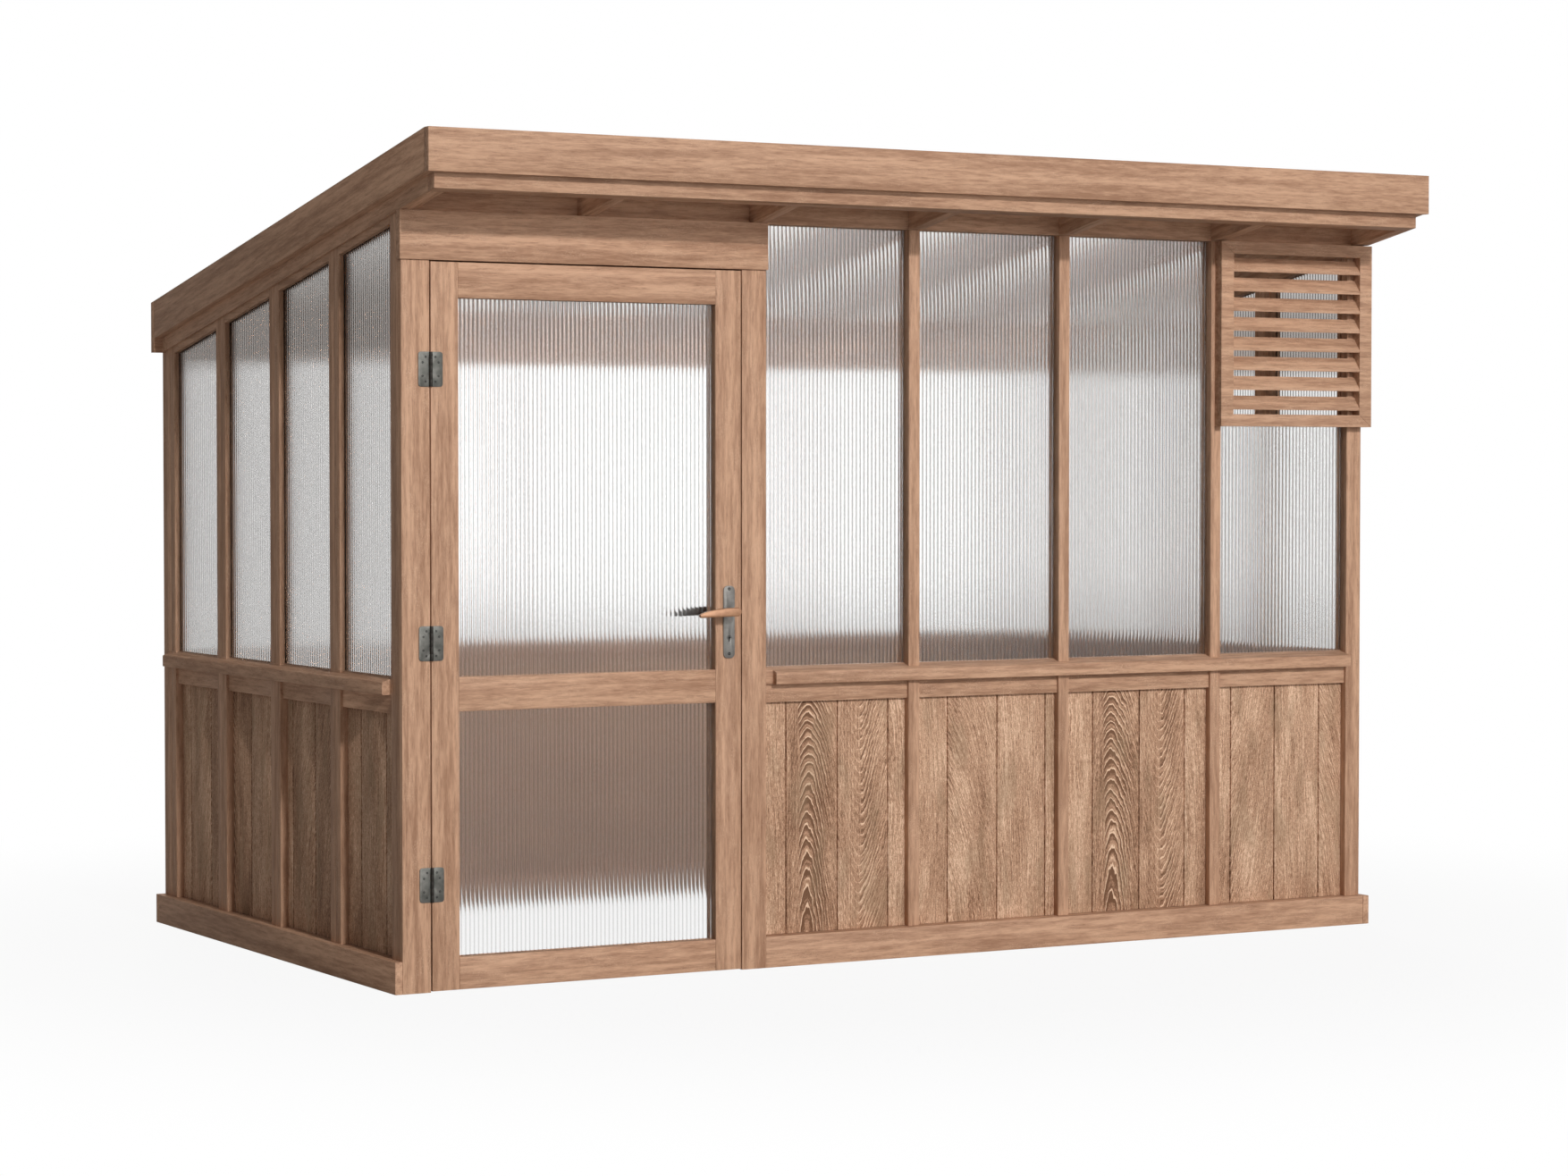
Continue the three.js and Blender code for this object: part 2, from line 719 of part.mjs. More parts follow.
// Roof edge boards, each with the beam behind it
function fasciaFront() {
  const board = block([-sideOverhang, wallWidth + sideOverhang], [-frontOverhang, fasciaBack],
    [roofTop - fasciaHeight, roofTop]);
  const rim = alongX(roofBand([fasciaBack, rimBack], underSheet, rafterDrop),
    [-rimOver, wallWidth + rimOver]);
  return board.add(rim);
}

function fasciaRear() {
  const back = wallDepth + rearOverhang;
  const board = alongX([
    [rearFasciaFront, rearEaves], [back, rearEaves], [back, roofLine(back)],
    [rearFasciaFront, roofLine(rearFasciaFront)],
  ], [-sideOverhang, wallWidth + sideOverhang]);
  const rim = alongX(roofBand([rearRimFront, rearFasciaFront], underSheet, rafterDrop),
    [-rimOver, wallWidth + rimOver]);
  return board.add(rim);
}

function fasciaSide() {
  const inner = fasciaThickness - sideOverhang;
  const board = alongX(roofBand([fasciaBack + seat, rearFasciaFront - seat], 0, fasciaHeight),
    [-sideOverhang, inner]);
  const rafter = alongX(roofBand([rimBack + seat, rearRimFront - seat], underSheet, rafterDrop),
    [inner, endRafterInner]);
  const header = block([-sideOverhang, endRafterInner + overrun], [headerFront - seat, -seat],
    [headerFoot, headerTop + seat]);
  return board.add(rafter.subtract(header));
}

function rafterCentres() {
  const overLockPost = lockPostRight - rafterWidth / 2;
  const overDoor = (endRafterInner + overLockPost - rafterWidth / 2) / 2;
  return [overDoor, overLockPost, ...mullionCentres];
}

// Rafter about its own centre line, with a seat over the header and a birdsmouth over the plate
function rafter() {
  const bar = alongX(roofBand([rimBack + seat, rearRimFront - seat], underSheet, rafterDrop),
    [-rafterWidth / 2, rafterWidth / 2]);
  const notchTop = plateUnderside + plateNotchHeight + seat;
  return bar.subtract(alongX([
    [headerFront - seat, headerFoot], [frameDepth + seat, headerFoot], [frameDepth + seat, notchTop],
    [-seat, notchTop], [-seat, headerTop + seat], [headerFront - seat, headerTop + seat],
  ], [-rafterWidth, rafterWidth]));
}

function roofSheet() {
  return alongX(roofBand([fasciaBack + seat, rearFasciaFront - seat], sheetDrop, sheetDrop + sheetThickness),
    [-rimOver, wallWidth + rimOver]);
}

// Louvre vent
function slat(index) {
  const foot = ventFoot + ventRailWidth + slatFoot + index * slatPitch;
  const slope = Math.atan2(slatRise, slatRun);
  const thickness = slatThickness / Math.sin(slope);
  const front = -ventDepth + (ventDepth - slatRun) / 2;
  const back = front + slatRun;
  return alongX([
    [front, foot], [front + thickness / 2, foot], [back, foot + slatRise - slatThickness],
    [back, foot + slatRise], [back - thickness / 2, foot + slatRise], [front, foot + slatThickness],
  ], [ventLeft + ventSideWidth - slatHousing, ventRight - ventSideWidth + slatHousing]);
}

// Fine line across a corner of the vent's frame, from past its outer to past its inner corner
function mitreLine(outer, inner) {
  const from = new THREE.Vector2(...outer);
  const to = new THREE.Vector2(...inner);
  const along = to.clone().sub(from).setLength(overrun);
  const aside = new THREE.Vector2(-along.y, along.x).setLength(mitreWidth / 2);
  from.sub(along);
  to.add(along);
  const outline = new THREE.Shape([
    from.clone().add(aside), from.clone().sub(aside), to.clone().sub(aside), to.clone().add(aside),
  ]);
  return alongY(outline, [-ventDepth - overrun, mitreDepth - ventDepth]);
}

function louvreVent() {
  const outer = [[ventLeft, ventFoot], [ventRight, ventFoot], [ventRight, ventTop], [ventLeft, ventTop]];
  const inLeft = ventLeft + ventSideWidth;
  const inRight = ventRight - ventSideWidth;
  const inFoot = ventFoot + ventRailWidth;
  const inTop = ventTop - ventRailWidth;
  const inner = [[inLeft, inFoot], [inRight, inFoot], [inRight, inTop], [inLeft, inTop]];
  const frame = alongY(shapeOf(outer), [-ventDepth, -seat])
    .subtract(alongY(shapeOf(inner), [-ventDepth - overrun, overrun]));
  const slats = Array.from({ length: slatCount }, (_, index) => slat(index));
  const mitres = outer.map((corner, i) => mitreLine(corner, inner[i]));
  return cut(joined([frame, ...slats]), mitres);
}

function louvreTransom() {
  const [left, right] = frontBays()[ventBay];
  return block([left + seat, right - seat], [0, frameDepth], [transomUnderside, ventFoot + ventRailWidth])
    .subtract(block([left - overrun, right + overrun], paneDepth(frontGlassSetback),
      [transomUnderside - overrun, transomUnderside + glassGroove]));
}

function frontPane(bay) {
  const [left, right] = frontBays()[bay];
  const inGroove = glassGroove - seat;
  const top = (bay === ventBay ? transomUnderside : plateUnderside) + inGroove;
  return paneAlongX([left - inGroove, right + inGroove], frontGlassSetback, frontFlutePitch,
    [sillTop + seat, top]);
}

// Door leaf
function tenonSpan([foot, top]) {
  return [foot + tenonShoulder, top - tenonShoulder];
}

function doorRail(level) {
  const [foot, top] = level;
  const left = leafLeft + doorStileWidth + seat;
  const right = leafRight - doorStileWidth - seat;
  const tenon = block([left - tenonLength, right + tenonLength], around(leafMiddle, tenonThickness),
    tenonSpan(level));
  const groove = paneDepth(leafFront + doorGlassSetback);
  const grooves = [];
  const wide = [left - tenonLength - overrun, right + tenonLength + overrun];
  if (foot > floorGap) grooves.push(block(wide, groove, [foot - overrun, foot + glassGroove]));
  if (top < doorTop) grooves.push(block(wide, groove, [top - glassGroove, top + overrun]));
  return cut(block([left, right], [leafFront, leafBack], level).add(tenon), grooves);
}

function doorStile(left, right, inward) {
  const edge = inward > 0 ? right : left;
  const past = edge + inward * overrun;
  const mortises = Object.values(railLevels).map((level) => {
    const [foot, top] = tenonSpan(level);
    return block(ordered(edge - inward * (tenonLength + seat), past),
      around(leafMiddle, tenonThickness + 2 * seat), [foot - seat, top + seat]);
  });
  return cut(block([left, right], [leafFront, leafBack], [floorGap, doorTop]), [
    ...mortises,
    block(ordered(edge - inward * glassGroove, past), paneDepth(leafFront + doorGlassSetback),
      [railLevels.bottom[1] - glassGroove, railLevels.top[0] + glassGroove]),
  ]);
}

function doorPane(foot, top) {
  const inGroove = glassGroove - seat;
  const span = [leafLeft + doorStileWidth - inGroove, leafRight - doorStileWidth + inGroove];
  return paneAlongX(span, leafFront + doorGlassSetback, frontFlutePitch, [foot - inGroove, top + inGroove]);
}

function doorLockStile() {
  const stile = doorStile(leafRight - doorStileWidth, leafRight, -1);
  const through = [leafFront - overrun, leafBack + overrun];
  return cut(stile, [
    block([leafRight - caseDepth - seat, leafRight + overrun], around(leafMiddle, caseThickness + 2 * seat),
      around(caseMiddle, caseHeight + 2 * seat)),
    block([leafRight - forendThickness - seat, leafRight + overrun],
      around(leafMiddle, forendWidth + 2 * seat), around(caseMiddle, caseHeight + 2 * (forendOver + seat))),
    barAlongY(spindleReach, through, leverX, leverHeight, neckSides),
    barAlongY(keyRadius, through, leverX, leverHeight - keyBelowLever, keySides),
  ]);
}

// Hinges, about the pin and the middle of their height
function hingeLeaf(side, own) {
  const plateY = [knuckleRadius - hingePlate, knuckleRadius];
  const half = hingeHeight / 2;
  const reach = side * hingeWidth / 2;
  const inset = reach - side * hingeCorner;
  const shape = new THREE.Shape();
  shape.moveTo(0, -half);
  shape.lineTo(inset, -half);
  shape.quadraticCurveTo(reach, -half, reach, hingeCorner - half);
  shape.lineTo(reach, half - hingeCorner);
  shape.quadraticCurveTo(reach, half, inset, half);
  shape.lineTo(0, half);
  shape.closePath();
  const plate = alongY(shape, plateY, hingeCornerSegments);
  const tall = hingeHeight / knuckleCount;
  const notches = [];
  const knuckles = [];
  for (let i = 0; i < knuckleCount; i += 1) {
    const foot = i * tall - half;
    const clear = knuckleRadius + running;
    if (i % 2 === own) {
      const low = i === 0 ? foot : foot + running / 2;
      const high = i === knuckleCount - 1 ? foot + tall : foot + tall - running / 2;
      knuckles.push(barAlongZ(knuckleRadius, [low, high], 0, 0, knuckleSides));
    } else {
      notches.push(block([-clear, clear], [-overrun, knuckleRadius + overrun],
        [foot - running / 2, foot + tall + running / 2]));
    }
  }
  return joined([cut(plate, notches), ...knuckles]);
}

function hingeFrameLeaf() {
  const pin = barAlongZ(pinRadius, [-hingeHeight / 2, hingeHeight / 2], 0, 0, knuckleSides);
  return hingeLeaf(-1, 0).add(pin);
}

function hingeDoorLeaf() {
  const bore = barAlongZ(pinRadius + running, [-hingeHeight, hingeHeight], 0, 0, knuckleSides);
  return hingeLeaf(1, 1).subtract(bore);
}

// Back plate with its keyhole and the hole for the lever's neck, about the lever's axis
function backplate([y0, y1]) {
  const half = plateWidth / 2;
  const top = plateAboveLever;
  const foot = top - plateHeight;
  const shape = new THREE.Shape();
  shape.moveTo(half - plateCorner, foot);
  shape.quadraticCurveTo(half, foot, half, foot + plateCorner);
  shape.lineTo(half, top - plateCorner);
  shape.quadraticCurveTo(half, top, half - plateCorner, top);
  shape.lineTo(plateCorner - half, top);
  shape.quadraticCurveTo(-half, top, -half, top - plateCorner);
  shape.lineTo(-half, foot + plateCorner);
  shape.quadraticCurveTo(-half, foot, plateCorner - half, foot);
  shape.closePath();
  const through = [y0 - overrun, y1 + overrun];
  return cut(alongY(shape, [y0, y1], plateCornerSegments), [
    barAlongY(neckRadius + seat, through, 0, 0, neckSides),
    barAlongY(keyRadius, through, 0, -keyBelowLever, keySides),
    block(around(0, keySlot), through, [-keyBelowLever - keySlotLength, -keyBelowLever]),
  ]);
}

// Lever about its axis: a round neck and a grip that tapers and drops towards its tip
function lever(outward) {
  const face = leafMiddle + outward * (doorThickness / 2 + seat);
  const gripBack = face + outward * (plateThickness + neckLength);
  const gripFront = gripBack + outward * gripThickness;
  const half = gripHeight / 2;
  const tip = gripTipHeight / 2;
  const shape = new THREE.Shape();
  shape.absarc(0, 0, half - gripBevel, -Math.PI / 2, Math.PI / 2, false);
  shape.quadraticCurveTo(-gripLength * gripBendShare, half - gripBevel,
    tip - gripLength, tip - gripDrop - gripBevel);
  shape.quadraticCurveTo(-gripLength, -gripDrop, tip - gripLength, -tip - gripDrop + gripBevel);
  shape.lineTo(0, gripBevel - half);
  const geometry = new THREE.ExtrudeGeometry(shape, {
    depth: gripThickness - 2 * gripBevel,
    bevelEnabled: true,
    bevelThickness: gripBevel,
    bevelSize: gripBevel,
    bevelSegments: gripBevelSegments,
    curveSegments: gripSegments,
  });
  geometry.rotateX(Math.PI / 2);
  geometry.translate(0, Math.max(gripBack, gripFront) - gripBevel, 0);
  const neck = ordered(face, gripBack + outward * gripBevel);
  return toSolid(geometry).add(barAlongY(neckRadius, neck, 0, 0, neckSides));
}

function outerLever() {
  const span = [leafFront - seat - plateThickness, leafBack + neckLength / 2];
  return lever(-1).add(block(around(0, spindleSide), span, around(0, spindleSide)));
}

function innerLever() {
  const side = around(0, spindleSide + 2 * seat);
  return lever(1).subtract(block(side, [leafMiddle, leafBack + neckLength / 2 + seat], side));
}

function boltChannel(height, thickness, tall, length) {
  return block([leafRight - length - seat, leafRight + overrun], around(leafMiddle, thickness + 2 * seat),
    around(height, tall + 2 * seat));
}

// Lock case and forend, with a channel for each bolt, a round hole for the spindle and a keyhole
function lockCase() {
  const through = around(leafMiddle, 2 * caseThickness);
  return cut(joined([
    block([leafRight - caseDepth, leafRight], around(leafMiddle, caseThickness),
      around(caseMiddle, caseHeight)),
    block([leafRight - forendThickness, leafRight], around(leafMiddle, forendWidth),
      around(caseMiddle, caseHeight + 2 * forendOver)),
  ]), [
    boltChannel(leverHeight, latchThickness, latchHeight, latchLength - latchProud + latchTravel),
    boltChannel(deadBoltMiddle, deadBoltThickness, deadBoltHeight, deadBoltLength),
    barAlongY(spindleReach, through, leverX, leverHeight, neckSides),
    barAlongY(keyRadius, through, leverX, leverHeight - keyBelowLever, keySides),
  ]);
}

// Latch bolt with its nose bevelled on the closing side
function latchBolt() {
  const nose = leafRight + latchProud;
  const back = nose - latchLength;
  const halfThickness = latchThickness / 2;
  return alongZ([
    [back, leafMiddle - halfThickness], [nose - latchProud, leafMiddle - halfThickness],
    [nose, leafMiddle - halfThickness + latchProud], [nose, leafMiddle + halfThickness],
    [back, leafMiddle + halfThickness],
  ], around(leverHeight, latchHeight));
}

function deadBolt() {
  return block([leafRight - deadBoltLength, leafRight - seat], around(leafMiddle, deadBoltThickness),
    around(deadBoltMiddle, deadBoltHeight));
}

function strikePlate() {
  const plate = block([lockPostLeft, lockPostLeft + strikeThickness], around(leafMiddle, strikeWidth),
    around(strikeMiddle, strikeHeight));
  return cut(plate, [
    boltPocket(leverHeight, latchThickness, latchHeight, pocketClearance - seat),
    boltPocket(deadBoltMiddle, deadBoltThickness, deadBoltHeight, pocketClearance - seat),
  ]);
}

// Assembly
const greenhouse = new THREE.Group();
const shell = new THREE.Group();
shell.add(
  piece('plinth_front', plinthFront(), timber),
  piece('plinth_left', plinthSide(frameDepth + seat), timber),
  piece('plinth_right', mirrored(plinthSide(plinthUnder + seat)), timber),
  piece('plinth_rear', plinthRear(), timber),
  piece('door_hinge_post', doorHingePost(), timber),
  piece('door_lock_post', doorLockPost(), timber),
  piece('corner_post_front_right', cornerPostFrontRight(), timber),
  piece('door_header', doorHeader(), timber),
  piece('front_top_plate', frontTopPlate(), timber),
  piece('front_sill', frontSill(), timber),
  piece('boarding_front', turnedToFront(boardsAlongY([lockPostRight + seat, cornerPostLeft - seat],
    jointsOf(frontBays(), frontBoardShares))), boards),
  piece('boarding_left', sideBoards(), boards),
  piece('boarding_right', mirrored(sideBoards()), boards),
  piece('boarding_rear', rearBoards(), boards),
  piece('wall_frame_left', sideFrame(), timber),
  piece('wall_frame_right', mirrored(sideFrame()), timber),
  piece('wall_frame_rear', rearFrame(), timber),
  piece('glazing_left', sideGlazing(), reededGlass),
  piece('glazing_right', mirrored(sideGlazing()), reededGlass),
  piece('glazing_rear', rearGlazing(), reededGlass),
  piece('fascia_front', fasciaFront(), timber),
  piece('fascia_left', fasciaSide(), timber),
  piece('fascia_right', mirrored(fasciaSide()), timber),
  piece('fascia_rear', fasciaRear(), timber),
  piece('roof_sheet', roofSheet(), reededGlass),
  piece('louvre_vent', louvreVent(), timber),
  piece('louvre_transom', louvreTransom(), timber),
  piece('strike_plate', strikePlate(), steel),
);
mullionCentres.forEach((centre, index) => {
  shell.add(piece(`front_mullion_${index + 1}`, frontMullion(), timber, new THREE.Vector3(centre, 0, 0)));
});
frontBays().forEach((_, bay) => {
  shell.add(piece(`front_pane_${bay + 1}`, frontPane(bay), reededGlass));
});
rafterCentres().forEach((centre, index) => {
  shell.add(piece(`rafter_${index + 1}`, rafter(), timber, new THREE.Vector3(centre, 0, 0)));
});

const door = new THREE.Group();
door.add(
  piece('door_hinge_stile', doorStile(leafLeft, leafLeft + doorStileWidth, 1), timber),
  piece('door_lock_stile', doorLockStile(), timber),
  piece('door_top_rail', doorRail(railLevels.top), timber),
  piece('door_mid_rail', doorRail(railLevels.mid), timber),
  piece('door_bottom_rail', doorRail(railLevels.bottom), timber),
  piece('door_upper_pane', doorPane(railLevels.mid[1], railLevels.top[0]), reededGlass),
  piece('door_lower_pane', doorPane(railLevels.bottom[1], railLevels.mid[0]), reededGlass),
  piece('lock_case', lockCase(), steel),
  piece('latch_bolt', latchBolt(), steel),
  piece('dead_bolt', deadBolt(), steel),
);

Object.entries(hingeShares).forEach(([level, share]) => {
  const pin = new THREE.Vector3(hingeX, hingeY, floorGap + share * leafHeight);
  shell.add(piece(`hinge_frame_leaf_${level}`, hingeFrameLeaf(), hingeSteel, pin));
  door.add(piece(`hinge_door_leaf_${level}`, hingeDoorLeaf(), hingeSteel, pin));
});

const furniture = new THREE.Group();
furniture.position.set(leverX, 0, leverHeight);
furniture.add(
  piece('outer_backplate', backplate([leafFront - seat - plateThickness, leafFront - seat]), steel),
  piece('inner_backplate', backplate([leafBack + seat, leafBack + seat + plateThickness]), darkSteel),
  piece('outer_lever', outerLever(), bronze),
  piece('inner_lever', innerLever(), darkSteel),
);
door.add(furniture);

greenhouse.add(shell, door);
greenhouse.position.set(-wallWidth / 2, (frontOverhang - wallDepth - proud) / 2, 0);
greenhouse.updateMatrixWorld(true);

export default greenhouse;
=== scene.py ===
"""Lean-to greenhouse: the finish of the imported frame, in metres, in the frame's own coordinates."""

import logging
import math
import random
from collections.abc import Callable, Sequence
from dataclasses import dataclass, field
from enum import Enum
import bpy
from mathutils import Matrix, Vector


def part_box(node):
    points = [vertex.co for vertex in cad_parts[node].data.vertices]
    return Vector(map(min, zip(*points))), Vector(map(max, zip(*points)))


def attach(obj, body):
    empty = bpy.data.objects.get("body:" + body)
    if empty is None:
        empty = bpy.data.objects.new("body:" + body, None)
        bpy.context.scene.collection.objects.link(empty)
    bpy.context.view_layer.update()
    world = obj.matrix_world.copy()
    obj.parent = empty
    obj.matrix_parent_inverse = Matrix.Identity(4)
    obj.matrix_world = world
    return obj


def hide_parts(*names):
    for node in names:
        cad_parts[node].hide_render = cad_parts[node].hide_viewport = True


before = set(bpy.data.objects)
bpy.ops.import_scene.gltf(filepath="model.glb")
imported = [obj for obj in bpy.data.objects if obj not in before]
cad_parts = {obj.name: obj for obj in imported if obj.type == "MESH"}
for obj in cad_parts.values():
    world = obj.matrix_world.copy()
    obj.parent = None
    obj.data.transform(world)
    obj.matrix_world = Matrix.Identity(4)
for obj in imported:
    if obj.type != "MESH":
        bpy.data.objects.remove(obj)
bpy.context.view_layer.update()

from types import TracebackType

import bmesh
import bpy
from mathutils import Vector

log = logging.getLogger("greenhouse")

# Outer left end and outer front face of the walls, and the walls' outer size
WALL_LEFT = -1.6
WALL_FRONT = -0.7785
WALL_WIDTH = 3.2
WALL_DEPTH = 1.816

ROOF_PITCH = math.radians(10.05)
ROOF_TOP = 2.2785
ROOF_FRONT = WALL_FRONT - 0.254

SILL_FOOT = 0.7936
SILL_TOP = 0.843
APRON_FOOT = 0.743

# Depth of the roof's edge timbers over the end walls and the rear wall, and of the rail below them
END_EDGE = 0.156
REAR_EDGE = 0.153
TOP_RAIL = 0.021

# Timbers of the walls: their places from the wall's left or front end, and their widths
LOCK_POST_RIGHT = 1.1022
CORNER_POST_LEFT = 3.1465
MULLIONS = [LOCK_POST_RIGHT + share * (CORNER_POST_LEFT - LOCK_POST_RIGHT)
            for share in (0.2429, 0.4938, 0.7599)]
MULLION_WIDTH = 0.036
STILE = 0.036
SIDE_JOINTS = [share * WALL_DEPTH for share in (0.2428, 0.4884, 0.7252)]
REAR_JOINTS = [WALL_WIDTH / 3, WALL_WIDTH * 2 / 3]
REAR_POST = 0.067
REAR_REVEAL = 0.012
REAR_BOARDS = 6
FRAME_DEPTH = 0.050

# Width of one flute in the front wall's and door's panes, and in the other walls
FRONT_FLUTE = 0.0127
WALL_FLUTE = 0.014

# Panes lie this far behind the face of the front wall and of the other walls, and this deep in their rail
FRONT_SETBACK = 0.030
SETBACK = 0.015
GROOVE = 0.010
CLEARANCE = 0.0003

# Places closer together than this are one, and faces that turn less than this are one flat face
SAME = 1e-5
FLAT = math.radians(0.5)

Colour = tuple[float, float, float]
Scale = tuple[float, float, float]
Piece = bpy.types.Object
Socket = bpy.types.NodeSocket

WHITE: Colour = (1.0, 1.0, 1.0)


def linear(red: int, green: int, blue: int) -> Colour:
    """Linear colour of a screen colour given in steps of 255."""
    def one(step: int) -> float:
        """Linear share of one channel."""
        share = step / 255
        return share / 12.92 if share <= 0.04045 else ((share + 0.055) / 1.055) ** 2.4
    return one(red), one(green), one(blue)


def roof_line(y: float) -> float:
    """Height of the roof's upper edge at a place along Y."""
    return ROOF_TOP - (y - ROOF_FRONT) * math.tan(ROOF_PITCH)


class Slot(Enum):
    """Material slots."""

    TIMBER = "timber"
    BOARDING = "boarding"
    REEDED_GLASS = "reeded_glass"
    ROOF_SHEET = "roof_sheet"
    LOCK_STEEL = "lock_steel"
    HINGE_STEEL = "hinge_steel"
    DARK_STEEL = "dark_steel"
    BRONZE = "bronze"


class Body(Enum):
    """Bodies that a piece can ride on."""

    GREENHOUSE = "greenhouse"
    DOOR = "door"
    LEVER = "lever"
    LATCH = "latch"
    DEADBOLT = "deadbolt"


class Run(Enum):
    """Direction in which the grain of a timber runs."""

    ALONG_X = Vector((1, 0, 0))
    ALONG_Y = Vector((0, 1, 0))
    ALONG_Z = Vector((0, 0, 1))
    DOWN_ROOF = Vector((0, math.cos(ROOF_PITCH), -math.sin(ROOF_PITCH)))


@dataclass(frozen=True)
class Value:
    """A number in a shader, whose arithmetic adds Math nodes."""

    shader: "Shader"
    socket: Socket

    def __add__(self, other: "Value | float") -> "Value":
        """Sum."""
        return self.shader.math("ADD", self, other)

    def __sub__(self, other: "Value | float") -> "Value":
        """Difference."""
        return self.shader.math("SUBTRACT", self, other)

    def __rsub__(self, other: float) -> "Value":
        """Difference from a plain number."""
        return self.shader.math("SUBTRACT", other, self)

    def __mul__(self, other: "Value | float") -> "Value":
        """Product."""
        return self.shader.math("MULTIPLY", self, other)

    __radd__ = __add__
    __rmul__ = __mul__

    def over(self, low: float, high: float) -> "Value":
        """Smooth step from 0 at low to 1 at high."""
        node = self.shader.node("MapRange", {"interpolation_type": "SMOOTHSTEP"},
                                {"Value": self, "From Min": low, "From Max": high})
        return Value(self.shader, node.outputs["Result"])


class Shader:
    """Node tree of one material or of the world, built node by node."""

    def __init__(self, tree: bpy.types.NodeTree) -> None:
        """Empties the tree."""
        self.tree = tree
        tree.nodes.clear()

    @classmethod
    def named(cls, name: str) -> tuple["Shader", bpy.types.Material]:
        """New material of this name, with its shader."""
        material = bpy.data.materials.new(name)
        material.use_nodes = True
        return cls(material.node_tree), material

    def node(self, kind: str, settings: dict[str, object] | None = None,
             inputs: dict[str | int, object] | None = None) -> bpy.types.Node:
        """Adds a node.

        Args:
            kind: type of the node, without its prefix.
            settings: properties set first, such as a Math node's operation.
            inputs: a value or a link for each named socket.

        Returns:
            The node.
        """
        made = self.tree.nodes.new("ShaderNode" + kind)
        for key, setting in (settings or {}).items():
            setattr(made, key, setting)
        for key, value in (inputs or {}).items():
            self.feed(made.inputs[key], value)
        return made

    def feed(self, socket: Socket, value: object) -> None:
        """Links a socket to a value or an output, or sets it to a constant."""
        if isinstance(value, Value):
            self.tree.links.new(value.socket, socket)
        elif isinstance(value, Socket):
            self.tree.links.new(value, socket)
        elif isinstance(value, tuple) and len(value) == 3 and socket.type == "RGBA":
            socket.default_value = (*value, 1.0)
        else:
            socket.default_value = value

    def math(self, operation: str, *terms: "Value | float") -> Value:
        """One Math node on one to three terms."""
        made = self.node("Math", {"operation": operation}, dict(enumerate(terms)))
        return Value(self, made.outputs["Value"])

    def attribute(self, name: str) -> Socket:
        """Vector attribute of the piece."""
        return self.node("Attribute", {"attribute_name": name}).outputs["Vector"]

    def level(self, name: str) -> Value:
        """Number attribute of the piece, 0 where it has none."""
        return Value(self, self.node("Attribute", {"attribute_name": name}).outputs["Fac"])

    def parts(self, vector: Socket) -> list[Value]:
        """The three numbers of a vector."""
        split = self.node("SeparateXYZ", {}, {0: vector})
        return [Value(self, output) for output in split.outputs]

    def joined(self, *terms: Value | float) -> Socket:
        """Vector of three numbers."""
        return self.node("CombineXYZ", {}, dict(enumerate(terms))).outputs["Vector"]

    def place(self) -> Socket:
        """Place in the object's own coordinates."""
        return self.node("TexCoord").outputs["Object"]

    def stretched(self, vector: Socket, scale: Scale) -> Socket:
        """Vector times a scale on each axis."""
        return self.node("VectorMath", {"operation": "MULTIPLY"}, {0: vector, 1: scale}).outputs["Vector"]

    def noise(self, vector: Socket, scale: Scale, detail: float = 2.0, roughness: float = 0.5) -> Value:
        """Noise of about 0 to 1, with its features per metre on each axis."""
        made = self.node("TexNoise", {}, {
            "Vector": self.stretched(vector, scale), "Scale": 1.0, "Detail": detail, "Roughness": roughness})
        return Value(self, made.outputs["Fac"])

    def mix(self, factor: Value, low: object, high: object) -> Socket:
        """Colour between two colours."""
        made = self.node("Mix", {"data_type": "RGBA"}, {0: factor, 6: low, 7: high})
        return made.outputs[2]

    def bump(self, height: Value, distance: float, strength: float = 1.0) -> Socket:
        """Normal of a surface raised by a height of 0 to 1 times a distance in metres."""
        made = self.node("Bump", {}, {"Height": height, "Distance": distance, "Strength": strength})
        return made.outputs["Normal"]

    def principled(self, inputs: dict[str | int, object]) -> Socket:
        """Principled shader's output."""
        return self.node("BsdfPrincipled", {}, inputs).outputs["BSDF"]

    def finish(self, surface: Socket) -> None:
        """Links the surface to the material's output."""
        self.node("OutputMaterial", {}, {"Surface": surface})


